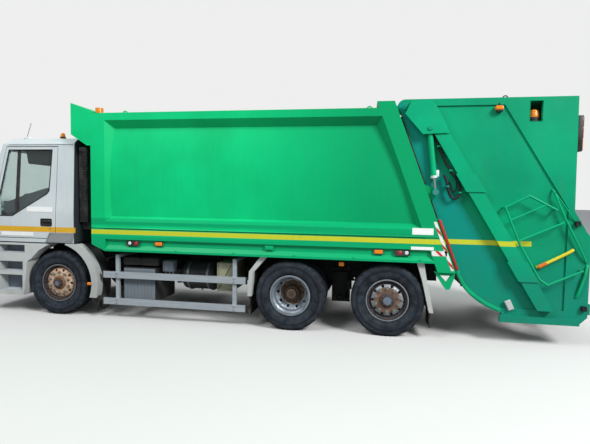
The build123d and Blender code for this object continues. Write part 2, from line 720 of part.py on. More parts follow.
with BuildPart() as tanks:
    air_tank_z = TANK_TOP - AIR_TANK_RADIUS
    with BuildSketch(Plane.YZ.offset(AIR_TANK_X[0])):
        with Locations((AIR_TANK_Y, air_tank_z)):
            Circle(AIR_TANK_RADIUS)
    extrude(amount=AIR_TANK_X[1] - AIR_TANK_X[0])
    fillet(tanks.edges().filter_by(GeomType.CIRCLE), 60)
    for bracket_x in (AIR_TANK_X[0] + 90, AIR_TANK_X[1] - 90):
        box(
            (bracket_x - 30, bracket_x + 30),
            (AIR_TANK_Y, -RAIL_OUTER),
            (air_tank_z - AIR_TANK_RADIUS - BRACKET_WALL, air_tank_z - AIR_TANK_RADIUS + 6),
        )
        box(
            (bracket_x - 30, bracket_x + 30),
            (-RAIL_OUTER - BRACKET_WALL, -RAIL_OUTER),
            (air_tank_z - AIR_TANK_RADIUS - BRACKET_WALL, FRAME_TOP - 30),
        )
    with BuildSketch(Plane.YZ.offset(FUEL_TANK_X[0])):
        soft_outline(
            rect_points(FUEL_TANK_Y[0], FUEL_TANK_Y[1], FUEL_TANK_Z[0], FUEL_TANK_Z[1]),
            [90, 90, 90, 90],
        )
    extrude(amount=FUEL_TANK_X[1] - FUEL_TANK_X[0])
    for bracket_x in (FUEL_TANK_X[0] + 200, FUEL_TANK_X[1] - 200):
        box(
            (bracket_x - 40, bracket_x + 40),
            (RAIL_OUTER, FUEL_TANK_Y[1] - 150),
            (FUEL_TANK_Z[0] - 40, FUEL_TANK_Z[0] + 1),
        )
        box(
            (bracket_x - 40, bracket_x + 40),
            (RAIL_OUTER, RAIL_OUTER + BRACKET_WALL),
            (FUEL_TANK_Z[0] - 40, FRAME_TOP - 30),
        )
save(tanks, "tanks")

# Boxes outside the rails: battery and valve boxes on the left, exhaust box on the right
SIDE_BOX_TABLE = [
    # front and rear x behind the front axle, near and far y, lowest and highest z above the frame
    (1100, 1690, -1080, -RAIL_OUTER, -100, -10),
    (1110, 1660, -1100, -RAIL_OUTER, -690, -150),
    (1750, 1910, -1020, -RAIL_OUTER, -200, -40),
]
BATTERY_X = (DRIVE_X - 1155, DRIVE_X - 905)
EXHAUST_X = (behind(2500), DRIVE_X - 905)

with BuildPart() as side_boxes:
    for x_low, x_high, y_low, y_high, z_low, z_high in SIDE_BOX_TABLE:
        box((behind(x_low), behind(x_high)), (y_low, y_high), (up(z_low), up(z_high)))
    box(BATTERY_X, (-1080, -RAIL_OUTER), (up(-460), up(-20)))
    chamfer(side_boxes.edges().filter_by(Axis.X).group_by(Axis.Y)[0], 12)
    box(EXHAUST_X, (RAIL_OUTER, 1080), (up(-520), up(-30)))
    fillet(side_boxes.edges().filter_by(Axis.X).group_by(Axis.Y)[-1], 60)
    with BuildSketch(Plane.XZ.offset(-1080)):
        with Locations((EXHAUST_X[1] - 120, up(-420))):
            Circle(50)
            Circle(44, mode=Mode.SUBTRACT)
    extrude(amount=-90)
save(side_boxes, "side_boxes")

# Air intake behind the cab, standing on the left rail
INTAKE_X = (CAB_BACK + 25, CAB_BACK + 165)
INTAKE_Y = (-1120, -880)
INTAKE_TOP = up(1730)

with BuildPart() as air_intake:
    box(INTAKE_X, INTAKE_Y, (up(550), INTAKE_TOP))
    chamfer(air_intake.edges().group_by(Axis.Z)[-1], 30)
    box(INTAKE_X, (-1050, -RAIL_OUTER + 60), (up(430), up(550)))
    box(
        (INTAKE_X[0] + 20, INTAKE_X[1] - 20),
        (-RAIL_OUTER, -RAIL_LIP),
        (up(150), up(430)),
    )
save(air_intake, "air_intake")

# Subframe: two long beams on the rails with cross bearers that carry the body
BODY_HALF = BODY_WIDTH / 2
BODY_FRONT = behind(680)
POST_BACK = BODY_FRONT + 230
SUBFRAME_X = (BODY_FRONT + 30, TAG_X + 650)
BEAM_TOP_Z = up(150)
BEARER_Z = (up(100), up(150))
BEARER_PITCH = 620
SIDE_INNER = BODY_HALF - 125
FLOOR_WALL = 60
ROOF_WALL = 50
ROOF_CROWN = 30

with BuildPart() as subframe:
    box(SUBFRAME_X, (-RAIL_OUTER, -RAIL_LIP), (FRAME_TOP, BEAM_TOP_Z))
    box(SUBFRAME_X, (RAIL_LIP, RAIL_OUTER), (FRAME_TOP, BEAM_TOP_Z))
    bearer_count = int((SUBFRAME_X[1] - POST_BACK - 200) / BEARER_PITCH) + 1
    for index in range(bearer_count):
        bearer_x = POST_BACK + 150 + index * BEARER_PITCH
        box((bearer_x - 35, bearer_x + 35), (-SIDE_INNER, SIDE_INNER), BEARER_Z)
    box(
        (INTAKE_X[0] + 20, SUBFRAME_X[0]),
        (-RAIL_OUTER, -RAIL_LIP),
        (FRAME_TOP, BEAM_TOP_Z),
    )
save(subframe, "subframe")

# The body meets the tailgate on one slanted plane, which leans forward with height
JOINT_Z = up(10)
JOINT_SLOPE = 0.375
BODY_TOP = up(BODY_HEIGHT)
FRAME_POST_DEPTH = 235
HEADER_TOP = BODY_TOP + 90
SILL_BOTTOM = up(0)
FLOOR_TOP = BEAM_TOP_Z + FLOOR_WALL
ROOF_BOTTOM = BODY_TOP - ROOF_WALL
OPENING_HALF = SIDE_INNER - 35


def joint_x(z, gap=0):
    """X of the slanted plane at a height, or of a plane that lies a gap behind it."""
    return JOINT_X - JOINT_SLOPE * (z - JOINT_Z) + gap * math.hypot(1, JOINT_SLOPE)


def post_x(z):
    """X of the front face of the slanted rear frame at a height."""
    return joint_x(z) - FRAME_POST_DEPTH


def slanted_slab(x_front, z_low, z_high, y_range):
    """Block that ends on the rear frame's slanted front face, in the active part."""
    with BuildSketch(Plane.XZ.offset(-y_range[0])) as face:
        outline(
            (x_front, z_low),
            (post_x(z_low), z_low),
            (post_x(z_high), z_high),
            (x_front, z_high),
        )
    extrude(face.sketch, amount=y_range[0] - y_range[1])


with BuildPart() as body_floor:
    slanted_slab(POST_BACK, BEAM_TOP_Z, FLOOR_TOP, (-SIDE_INNER, SIDE_INNER))
save(body_floor, "body_floor")

with BuildPart() as body_roof:
    slanted_slab(POST_BACK, ROOF_BOTTOM, BODY_TOP + ROOF_CROWN, (-SIDE_INNER, SIDE_INNER))
    with BuildSketch(Plane.YZ.offset(POST_BACK)):
        with BuildLine():
            ThreePointArc((-SIDE_INNER, BODY_TOP), (0, BODY_TOP + ROOF_CROWN), (SIDE_INNER, BODY_TOP))
            Polyline(
                (SIDE_INNER, BODY_TOP),
                (SIDE_INNER, ROOF_BOTTOM - 10),
                (-SIDE_INNER, ROOF_BOTTOM - 10),
                (-SIDE_INNER, BODY_TOP),
            )
        make_face()
    extrude(amount=JOINT_X - POST_BACK, mode=Mode.INTERSECT)
save(body_roof, "body_roof")

# Body sides: skirt, channel, stripe band, a bulged panel in a bevelled surround, and the top rail
PANEL_Z = (up(580), BODY_TOP - 110)
PANEL_DEPTH = 110
BULGE_BOTTOM = 75
BULGE_MIDDLE = 28
CHANNEL_Z = (up(210), up(300))
CHANNEL_DEPTH = 40
CHANNEL_SLOPE = 60
GROOVE_Z = up(462)
GROOVE_DEPTH = 8
GROOVE_HEIGHT = 14

with BuildPart() as panel_pocket:
    with BuildSketch(Plane.XZ.offset(BODY_HALF + 1)):
        outline(
            (POST_BACK, PANEL_Z[0]),
            (post_x(PANEL_Z[0]), PANEL_Z[0]),
            (post_x(PANEL_Z[1]), PANEL_Z[1]),
            (POST_BACK, PANEL_Z[1]),
        )
    extrude(amount=-PANEL_DEPTH - 1, taper=45)
    with BuildSketch(Plane.YZ.offset(FRONT_X)):
        with BuildLine():
            low = (-BODY_HALF + BULGE_BOTTOM, PANEL_Z[0] + BULGE_BOTTOM)
            middle = (-BODY_HALF + BULGE_MIDDLE + 30, (PANEL_Z[0] + PANEL_Z[1]) / 2 - 40)
            high = (-BODY_HALF + PANEL_DEPTH, PANEL_Z[1] - PANEL_DEPTH)
            ThreePointArc(low, middle, high)
            Polyline(high, (0, PANEL_Z[1] - PANEL_DEPTH), (0, PANEL_Z[0] + BULGE_BOTTOM), low)
        make_face()
    extrude(amount=OVERALL_LENGTH, mode=Mode.SUBTRACT)
    box(
        (FRONT_X, -FRONT_X),
        (-BODY_HALF + BULGE_BOTTOM, 0),
        (PANEL_Z[0], PANEL_Z[0] + BULGE_BOTTOM),
        mode=Mode.SUBTRACT,
    )

with BuildPart() as body_sides:
    slanted_slab(POST_BACK, SKIRT_BOTTOM, BODY_TOP, (-BODY_HALF, -SIDE_INNER))
    add(panel_pocket.part, mode=Mode.SUBTRACT)
    with BuildSketch(Plane.YZ.offset(POST_BACK)):
        outline(
            (-BODY_HALF - 1, CHANNEL_Z[1] + 5),
            (-BODY_HALF + CHANNEL_DEPTH, CHANNEL_Z[1]),
            (-BODY_HALF + CHANNEL_DEPTH, CHANNEL_Z[0]),
            (-BODY_HALF - 1, CHANNEL_Z[0] - CHANNEL_SLOPE),
        )
        with Locations((-BODY_HALF, GROOVE_Z)):
            Rectangle(2 * GROOVE_DEPTH, GROOVE_HEIGHT)
    extrude(amount=JOINT_X - POST_BACK, mode=Mode.SUBTRACT)
    mirror(about=Plane.XZ)
save(body_sides, "body_sides")

# Front wall of the body, with its lower edge raked up behind the cab
FRONT_WALL = 50
FRONT_RAKE = 100

with BuildPart() as body_front:
    with BuildSketch(Plane.XZ):
        outline(
            (BODY_FRONT, SKIRT_BOTTOM + FRONT_RAKE),
            (POST_BACK - 10, SKIRT_BOTTOM),
            (POST_BACK, SKIRT_BOTTOM),
            (POST_BACK, BODY_TOP),
            (BODY_FRONT, BODY_TOP),
        )
    extrude(amount=BODY_HALF, both=True)
    box(
        (BODY_FRONT + FRONT_WALL, POST_BACK),
        (-SIDE_INNER, SIDE_INNER),
        (FLOOR_TOP, ROOF_BOTTOM),
        mode=Mode.SUBTRACT,
    )
    box(
        (BODY_FRONT, POST_BACK),
        (-SIDE_INNER, SIDE_INNER),
        (SKIRT_BOTTOM, BEAM_TOP_Z),
        mode=Mode.SUBTRACT,
    )
save(body_front, "body_front")

# Visor over the cab, with a folded side and a sloping top
VISOR_DEPTH = 330
VISOR_TOP = BODY_TOP + 160
VISOR_BOTTOM = up(1740)
VISOR_FOOT = 60
VISOR_CHIN = 170
VISOR_FALL = 120
VISOR_WALL = 40

with BuildPart() as body_visor:
    with BuildSketch(Plane.XZ):
        outline(
            (BODY_FRONT, VISOR_BOTTOM),
            (BODY_FRONT - VISOR_FOOT, VISOR_BOTTOM),
            (BODY_FRONT - VISOR_DEPTH, VISOR_BOTTOM + VISOR_CHIN),
            (BODY_FRONT - VISOR_DEPTH, VISOR_TOP),
            (BODY_FRONT, VISOR_TOP - VISOR_FALL),
        )
    extrude(amount=BODY_HALF, both=True)
    with BuildSketch(Plane.XZ):
        outline(
            (BODY_FRONT, VISOR_BOTTOM + 50),
            (BODY_FRONT - 50, VISOR_BOTTOM + 50),
            (BODY_FRONT - VISOR_DEPTH + VISOR_WALL, VISOR_BOTTOM + VISOR_CHIN + 25),
            (BODY_FRONT - VISOR_DEPTH + VISOR_WALL, VISOR_TOP - 60),
            (BODY_FRONT, VISOR_TOP - VISOR_FALL - 50),
        )
    extrude(amount=BODY_HALF - VISOR_WALL, both=True, mode=Mode.SUBTRACT)
save(body_visor, "body_visor")

# Rear frame of the body: a portal on the slanted plane, with hinge lugs and ram brackets
HINGE_X = joint_x(BODY_TOP + 20) + 125
HINGE_Z = BODY_TOP + 20
HINGE_PIN = 30
HINGE_EYE = 60
LUG_Y = (940, 1000)
EYE_LENGTH = 70
TAILGATE_OUTER = BODY_HALF - 110
TAILGATE_INNER = TAILGATE_OUTER - 60
RAM_PIN = (HINGE_X + 320, HINGE_Z - 300)
RAM_EYE = (HINGE_X + 425, HINGE_Z - 1160)
RAM_RADIUS = 38
BRACKET_Y = (TAILGATE_OUTER + 5, TAILGATE_OUTER + 23)
EYE_Y = (TAILGATE_OUTER + 28, TAILGATE_OUTER + 72)

# Latch hooks under the frame's corners: distance behind the joint, height above the frame
HOOK_Y = (BODY_HALF - 70, BODY_HALF - 45)
HOOK_POINTS = [(-275, 5), (5, 5), (-10, -90), (-60, -235), (-110, -240), (-150, -190)]
HOOK_HOLE = [(-190, -45), (-60, -45), (-110, -130)]

with BuildPart() as body_rear_frame:
    with BuildSketch(Plane.XZ):
        outline(
            (post_x(SILL_BOTTOM), SILL_BOTTOM),
            (joint_x(SILL_BOTTOM), SILL_BOTTOM),
            (joint_x(HEADER_TOP), HEADER_TOP),
            (post_x(HEADER_TOP), HEADER_TOP),
        )
    extrude(amount=BODY_HALF, both=True)
    box(
        (BODY_FRONT, -FRONT_X),
        (-OPENING_HALF, OPENING_HALF),
        (FLOOR_TOP, ROOF_BOTTOM - 20),
        mode=Mode.SUBTRACT,
    )
    box(
        (BODY_FRONT, -FRONT_X),
        (-SIDE_INNER, SIDE_INNER),
        (SILL_BOTTOM, BEARER_Z[1]),
        mode=Mode.SUBTRACT,
    )
    for side in (-1, 1):
        lug_y = sorted((side * LUG_Y[0], side * LUG_Y[1]))
        with BuildSketch(Plane.XZ.offset(-lug_y[1])):
            with Locations((HINGE_X, HINGE_Z)):
                Circle(HINGE_EYE)
            outline(
                (joint_x(HINGE_Z + HINGE_EYE) - 5, HINGE_Z + HINGE_EYE),
                (HINGE_X, HINGE_Z + HINGE_EYE),
                (HINGE_X, HINGE_Z - HINGE_EYE),
                (joint_x(HINGE_Z - HINGE_EYE) - 5, HINGE_Z - HINGE_EYE),
            )
        extrude(amount=LUG_Y[1] - LUG_Y[0])
        with BuildSketch(Plane.XZ.offset(-side * LUG_Y[0])):
            with Locations((HINGE_X, HINGE_Z)):
                Circle(HINGE_PIN)
        extrude(amount=side * EYE_LENGTH)
        with BuildSketch(Plane.XZ.offset(-side * LUG_Y[1])):
            with Locations((HINGE_X, HINGE_Z)):
                Circle(HINGE_PIN)
        extrude(amount=-side * EYE_LENGTH)
        hook_y = sorted((side * HOOK_Y[0], side * HOOK_Y[1]))
        with BuildSketch(Plane.XZ.offset(-hook_y[1])):
            outline(*[(JOINT_X + x, up(z)) for x, z in HOOK_POINTS])
            outline(*[(JOINT_X + x, up(z)) for x, z in HOOK_HOLE], mode=Mode.SUBTRACT)
        extrude(amount=HOOK_Y[1] - HOOK_Y[0])
        bracket_y = sorted((side * BRACKET_Y[0], side * BRACKET_Y[1]))
        with BuildSketch(Plane.XZ.offset(-bracket_y[1])):
            with Locations(RAM_EYE):
                Circle(45)
            outline(
                (joint_x(RAM_EYE[1] + 120) - 5, RAM_EYE[1] + 120),
                (RAM_EYE[0] + 20, RAM_EYE[1] + 40),
                (RAM_EYE[0] + 20, RAM_EYE[1] - 40),
                (joint_x(RAM_EYE[1] - 120) - 5, RAM_EYE[1] - 120),
            )
        extrude(amount=BRACKET_Y[1] - BRACKET_Y[0])
save(body_rear_frame, "body_rear_frame")

# Marker lamps in the skirt's channel, and an amber beacon at each front corner of the roof
MARKER_X = [behind(1370), behind(1790), behind(3500), TAG_X - 140, TAG_X + 180]
LAMP_FACE = BODY_HALF - CHANNEL_DEPTH
MARKER_HALF = 60
MARKER_DEPTH = 26
MARKER_Z = (up(225), up(285))
BEACON_RADIUS = 60
BEACON_HEIGHT = 100

with BuildPart() as marker_lamps:
    for marker_x in MARKER_X:
        box(
            (marker_x - MARKER_HALF, marker_x + MARKER_HALF),
            (-LAMP_FACE - MARKER_DEPTH, -LAMP_FACE),
            MARKER_Z,
        )
    with Locations((BODY_FRONT + BEACON_RADIUS, -BODY_HALF + 150, BODY_TOP + BEACON_HEIGHT / 2)):
        Cylinder(BEACON_RADIUS, BEACON_HEIGHT)
    mirror(about=Plane.XZ)
save(marker_lamps, "marker_lamps")

# Ejector plate: a leaning shield on a box foot, which slides along the floor
EJECTOR_HALF = SIDE_INNER - 45
EJECTOR_FOOT = (POST_BACK + 60, POST_BACK + 900)
EJECTOR_Z = (FLOOR_TOP + SEAT_GAP, ROOF_BOTTOM - 40)

with BuildPart() as ejector_plate:
    lean = JOINT_SLOPE * (EJECTOR_Z[1] - EJECTOR_Z[0])
    with BuildSketch(Plane.XZ):
        outline(
            (EJECTOR_FOOT[0], EJECTOR_Z[0]),
            (EJECTOR_FOOT[1], EJECTOR_Z[0]),
            (EJECTOR_FOOT[1] - lean, EJECTOR_Z[1]),
            (EJECTOR_FOOT[1] - lean - 90, EJECTOR_Z[1]),
            (EJECTOR_FOOT[1] - 240, EJECTOR_Z[0] + 380),
            (EJECTOR_FOOT[0], EJECTOR_Z[0] + 300),
        )
    extrude(amount=EJECTOR_HALF, both=True)
    box(
        (EJECTOR_FOOT[0] + 50, EJECTOR_FOOT[1] - 300),
        (-EJECTOR_HALF + 60, EJECTOR_HALF - 60),
        (EJECTOR_Z[0] + 60, EJECTOR_Z[0] + 500),
        mode=Mode.SUBTRACT,
    )
save(ejector_plate, "ejector_plate")

# Packer geometry: the carriage slides along a slanted line, and the blade swings from its foot
SLIDE_ANGLE = 30.7
SLIDE_X = math.sin(math.radians(SLIDE_ANGLE))
SLIDE_Z = -math.cos(math.radians(SLIDE_ANGLE))
BLADE_LENGTH = 800
TROUGH_GAP = 20
TROUGH_RADIUS = BLADE_LENGTH + TROUGH_GAP
TROUGH_WALL = 30
TROUGH_X = JOINT_X + 820
TROUGH_Z = up(320)
CARRIAGE_TRAVEL = 850
PIVOT_X = TROUGH_X - SLIDE_X * CARRIAGE_TRAVEL
PIVOT_Z = TROUGH_Z - SLIDE_Z * CARRIAGE_TRAVEL


def along(distance, across=0):
    """Point at a distance up the slide from the raised blade pivot, and across it to the rear."""
    return (
        PIVOT_X - SLIDE_X * distance - SLIDE_Z * across,
        PIVOT_Z - SLIDE_Z * distance + SLIDE_X * across,
    )


def trough_point(radius, angle):
    """Point round the trough's centre, at an angle in degrees from the rear horizontal."""
    turn = math.radians(angle)
    return (TROUGH_X + radius * math.cos(turn), TROUGH_Z + radius * math.sin(turn))


TROUGH_START = 180 + SLIDE_ANGLE
TROUGH_END = 355
GATE_GAP = MOVING_GAP
GATE_BACK = JOINT_X + 1465
HOPPER_BACK = JOINT_X + 1700
HOPPER_BOTTOM = up(-650)
HINGE_CLEAR = (HINGE_X - joint_x(HINGE_Z)) / math.hypot(1, JOINT_SLOPE) - GATE_GAP
GATE_LEAN = math.degrees(math.atan(JOINT_SLOPE))
GATE_LIP_Z = up(30)


def hinge_point(angle):
    """Point of the tailgate's rounded front corner, round the hinge."""
    turn = math.radians(angle)
    return (HINGE_X + HINGE_CLEAR * math.cos(turn), HINGE_Z + HINGE_CLEAR * math.sin(turn))


# The sides' outer face is sunk between the top band, the fold in front of the rear post and the foot beam
SLOT_DEPTH = 30
RECESS_Y = TAILGATE_OUTER - 20
RECESS_FRONT = HINGE_X + 365
RECESS_REAR = GATE_BACK - 55
RECESS_TOP = HINGE_Z + 15
RECESS_EDGE = 70
GUIDE_BOTTOM = HOPPER_BOTTOM + 190
WINDOW_X = (JOINT_X + 880, JOINT_X + 1040)
WINDOW_Z = (HINGE_Z - 210, HINGE_Z + 60)
FOOT_BEAM_X = (JOINT_X + 600, HOPPER_BACK - 110)
FOOT_BEAM_Y = TAILGATE_OUTER + 45
FOOT_BEAM_Z = (HOPPER_BOTTOM + 2, HOPPER_BOTTOM + 90)

with BuildPart() as tailgate_sides:
    with BuildSketch(Plane.XZ.offset(TAILGATE_INNER)):
        with BuildLine():
            corner = hinge_point(180 - GATE_LEAN)
            crest = (HINGE_X, HINGE_Z + HINGE_CLEAR)
            lip = (joint_x(GATE_LIP_Z, GATE_GAP), GATE_LIP_Z)
            heel = trough_point(TROUGH_RADIUS + TROUGH_WALL + 20, TROUGH_START + 6)
            toe = trough_point(TROUGH_RADIUS + TROUGH_WALL + 20, 257)
            ThreePointArc(corner, hinge_point(180 - GATE_LEAN - 40), crest)
            Polyline(
                crest,
                (GATE_BACK, HINGE_Z + HINGE_CLEAR),
                (GATE_BACK + 20, up(870)),
                (HOPPER_BACK - 60, up(600)),
                (HOPPER_BACK, up(520)),
                (HOPPER_BACK, up(-540)),
                (HOPPER_BACK - 110, HOPPER_BOTTOM),
                (toe[0] + 40, HOPPER_BOTTOM),
                toe,
            )
            ThreePointArc(toe, trough_point(TROUGH_RADIUS + TROUGH_WALL + 20, 236), heel)
            Polyline(heel, lip, corner)
        make_face()
    extrude(amount=TAILGATE_OUTER - TAILGATE_INNER)
    with BuildSketch(Plane.XZ.offset(TAILGATE_INNER)):
        outline(along(700, -60), along(-930, -60), along(-930, 60), along(700, 60))
    extrude(amount=SLOT_DEPTH, mode=Mode.SUBTRACT)
    with BuildSketch(Plane.XZ.offset(RECESS_Y)):
        outline(
            (RECESS_FRONT, RECESS_TOP),
            (JOINT_X + 570, RECESS_TOP),
            (RECESS_REAR, up(890)),
            (RECESS_REAR, GUIDE_BOTTOM - 5),
            (JOINT_X + 640, GUIDE_BOTTOM - 5),
            trough_point(TROUGH_RADIUS + 5, 236),
            trough_point(TROUGH_RADIUS + 5, 218),
            (joint_x(up(30)) + RECESS_EDGE, up(30)),
            (RECESS_FRONT, up(1130)),
        )
    extrude(amount=TAILGATE_OUTER - RECESS_Y, mode=Mode.SUBTRACT)
    box(WINDOW_X, (-TAILGATE_OUTER, -TAILGATE_INNER), WINDOW_Z, mode=Mode.SUBTRACT)
    box(FOOT_BEAM_X, (-FOOT_BEAM_Y, -TAILGATE_OUTER), FOOT_BEAM_Z)
    mirror(about=Plane.XZ)
save(tailgate_sides, "tailgate_sides")

COVER_WALL = 50
COVER_FRONT = HINGE_X + 90
PANEL_BOTTOM = up(1240)

with BuildPart() as tailgate_cover:
    with BuildSketch(Plane.XZ):
        soft_outline(
            [
                (COVER_FRONT, HINGE_Z + HINGE_CLEAR),
                (GATE_BACK - 5, HINGE_Z + HINGE_CLEAR),
                (GATE_BACK + 8, PANEL_BOTTOM),
                (GATE_BACK + 8 - COVER_WALL, PANEL_BOTTOM),
                (GATE_BACK - 5 - COVER_WALL, HINGE_Z + HINGE_CLEAR - COVER_WALL),
                (COVER_FRONT, HINGE_Z + HINGE_CLEAR - COVER_WALL),
            ],
            [0, 40, 0, 0, 0, 0],
        )
    extrude(amount=TAILGATE_INNER, both=True)
    for side in (-1, 1):
        for eye_start in (LUG_Y[0] - EYE_LENGTH - 6, LUG_Y[1] + 6):
            eye_y = sorted((side * eye_start, side * (eye_start + EYE_LENGTH)))
            with BuildSketch(Plane.XZ.offset(-eye_y[1])):
                with Locations((HINGE_X, HINGE_Z)):
                    Circle(HINGE_EYE)
                outline(
                    (HINGE_X, HINGE_Z + HINGE_EYE),
                    (COVER_FRONT + 60, HINGE_Z + HINGE_CLEAR - 20),
                    (COVER_FRONT + 60, HINGE_Z + 20),
                    (HINGE_X, HINGE_Z - HINGE_EYE),
                )
            extrude(amount=EYE_LENGTH)
        with BuildSketch(Plane.XZ.offset(-side * (LUG_Y[0] - EYE_LENGTH - 6))):
            with Locations((HINGE_X, HINGE_Z)):
                Circle(HINGE_PIN + SEAT_GAP)
        extrude(amount=-side * (2 * EYE_LENGTH + 72), mode=Mode.SUBTRACT)
save(tailgate_cover, "tailgate_cover")

with BuildPart() as hopper:
    with BuildSketch(Plane.XZ):
        with BuildLine():
            inner_start = trough_point(TROUGH_RADIUS, TROUGH_START)
            inner_end = trough_point(TROUGH_RADIUS, TROUGH_END)
            outer_start = trough_point(TROUGH_RADIUS + TROUGH_WALL, TROUGH_START)
            outer_end = trough_point(TROUGH_RADIUS + TROUGH_WALL, TROUGH_END)
            rise = (FLOOR_TOP - 10 - inner_start[1]) / -SLIDE_Z
            lip_inner = (inner_start[0] - SLIDE_X * rise, FLOOR_TOP - 10)
            lip_outer = (lip_inner[0] + (outer_start[0] - inner_start[0]) - 5, FLOOR_TOP - 10)
            ThreePointArc(inner_start, trough_point(TROUGH_RADIUS, 280), inner_end)
            ThreePointArc(outer_start, trough_point(TROUGH_RADIUS + TROUGH_WALL, 280), outer_end)
            Line(inner_end, outer_end)
            Polyline(inner_start, lip_inner, lip_outer, outer_start)
        make_face()
    extrude(amount=TAILGATE_INNER, both=True)
    with BuildSketch(Plane.XZ):
        outline(
            (joint_x(up(-300), GATE_GAP), up(-300)),
            (joint_x(up(500), GATE_GAP), up(500)),
            (JOINT_X - 900, up(500)),
            (JOINT_X - 900, up(-300)),
        )
    extrude(amount=BODY_HALF, both=True, mode=Mode.SUBTRACT)
save(hopper, "hopper")

# Guide beams outside the tailgate, with the cover plate over each ram's head
GUIDE_TOP = HINGE_Z - 380
GUIDE_HALF = 88
GUIDE_DEPTH = BODY_HALF - TAILGATE_OUTER
PLATE_WALL = 16


def guide_point(z, across):
    """Point on the guide beam's line at a height, moved level to the rear."""
    return (GUIDE_X + (GUIDE_TOP - z) * SLIDE_X / -SLIDE_Z + across, z)


GUIDE_X = HINGE_X + 488
GUIDE_STEP = GUIDE_HALF / -SLIDE_Z

with BuildPart() as guide_beams:
    with BuildSketch(Plane.XZ.offset(RECESS_Y)):
        outline(
            guide_point(GUIDE_TOP, -GUIDE_STEP),
            guide_point(GUIDE_TOP, GUIDE_STEP),
            guide_point(GUIDE_BOTTOM, GUIDE_STEP),
            guide_point(GUIDE_BOTTOM, -GUIDE_STEP),
        )
    extrude(amount=GUIDE_DEPTH)
    for boss_z, boss_half in ((up(1220), 120), (up(50), 130)):
        with BuildSketch(Plane.XZ.offset(RECESS_Y)):
            boss_step = GUIDE_STEP + 25
            outline(
                guide_point(boss_z + boss_half, -boss_step),
                guide_point(boss_z + boss_half, boss_step),
                guide_point(boss_z - boss_half, boss_step),
                guide_point(boss_z - boss_half, -boss_step),
            )
        extrude(amount=GUIDE_DEPTH + 15)
    with BuildSketch(Plane.XZ.offset(BODY_HALF - PLATE_WALL)):
        outline(
            (HINGE_X - 10, HINGE_Z - 105),
            (HINGE_X + 75, HINGE_Z + 75),
            (HINGE_X + 350, HINGE_Z + 75),
            (HINGE_X + 520, HINGE_Z - 230),
            (HINGE_X + 580, HINGE_Z - 365),
            (HINGE_X + 230, HINGE_Z - 380),
        )
    extrude(amount=PLATE_WALL)
    box(
        (HINGE_X + 60, HINGE_X + 160),
        (-BODY_HALF + PLATE_WALL, -TAILGATE_OUTER),
        (HINGE_Z - 40, HINGE_Z + 60),
    )
    with BuildSketch(Plane.XZ.offset(RECESS_Y)):
        outline(
            guide_point(GUIDE_TOP, -60),
            guide_point(GUIDE_TOP, 60),
            (HINGE_X + 480, HINGE_Z - 200),
            (HINGE_X + 430, HINGE_Z - 200),
        )
    extrude(amount=BODY_HALF - RECESS_Y - PLATE_WALL)
    with BuildSketch(Plane.XZ.offset(TAILGATE_OUTER)):
        with Locations(RAM_PIN):
            Circle(20)
    extrude(amount=GUIDE_DEPTH - PLATE_WALL)
    mirror(about=Plane.XZ)
save(guide_beams, "guide_beams")

# Lift rams between the tailgate's cover plates and the body's brackets
RAM_LENGTH = math.dist(RAM_PIN, RAM_EYE)
RAM_WAY = ((RAM_EYE[0] - RAM_PIN[0]) / RAM_LENGTH, 0, (RAM_EYE[1] - RAM_PIN[1]) / RAM_LENGTH)
BARREL_LENGTH = 660
ROD_RADIUS = 20
RAM_AXIS_Y = BODY_HALF - PLATE_WALL - RAM_RADIUS - 6


def ram_plane(side):
    """Plane square to a ram at its upper pin."""
    return Plane(origin=(RAM_PIN[0], side * RAM_AXIS_Y, RAM_PIN[1]), x_dir=(0, 1, 0), z_dir=RAM_WAY)


with BuildPart() as lift_barrels:
    for side in (-1, 1):
        with BuildSketch(ram_plane(side)):
            Circle(RAM_RADIUS)
        extrude(amount=BARREL_LENGTH)
        with Locations(Plane(origin=(RAM_PIN[0], side * RAM_AXIS_Y, RAM_PIN[1]), x_dir=(1, 0, 0),
                             z_dir=(0, 1, 0))):
            Cylinder(RAM_RADIUS + 6, 2 * RAM_RADIUS - 4)
            Cylinder(20 + SEAT_GAP, 200, mode=Mode.SUBTRACT)
        with BuildSketch(ram_plane(side).offset(60)):
            Circle(ROD_RADIUS + SEAT_GAP)
        extrude(amount=BARREL_LENGTH, mode=Mode.SUBTRACT)
save(lift_barrels, "lift_barrels")

with BuildPart() as lift_rods:
    for side in (-1, 1):
        with BuildSketch(ram_plane(side).offset(80)):
            Circle(ROD_RADIUS)
        extrude(amount=RAM_LENGTH - 80 - 30)
        eye_y = sorted((side * EYE_Y[0], side * EYE_Y[1]))
        with BuildSketch(Plane.XZ.offset(-eye_y[1])):
            with Locations(RAM_EYE):
                Circle(42)
        extrude(amount=EYE_Y[1] - EYE_Y[0])
save(lift_rods, "lift_rods")

# Carriage: a boxed plate on sliding shoes, with two cheeks that carry the blade's pivot
CARRIAGE_HALF = TAILGATE_INNER - 25
CHEEK_Y = (980, 1040)
PIN_RADIUS = 40
BLADE_EYE = 90
SHOE_DEPTH = 24
SHOE_HALF = 59.5
SHOE_LENGTH = 120

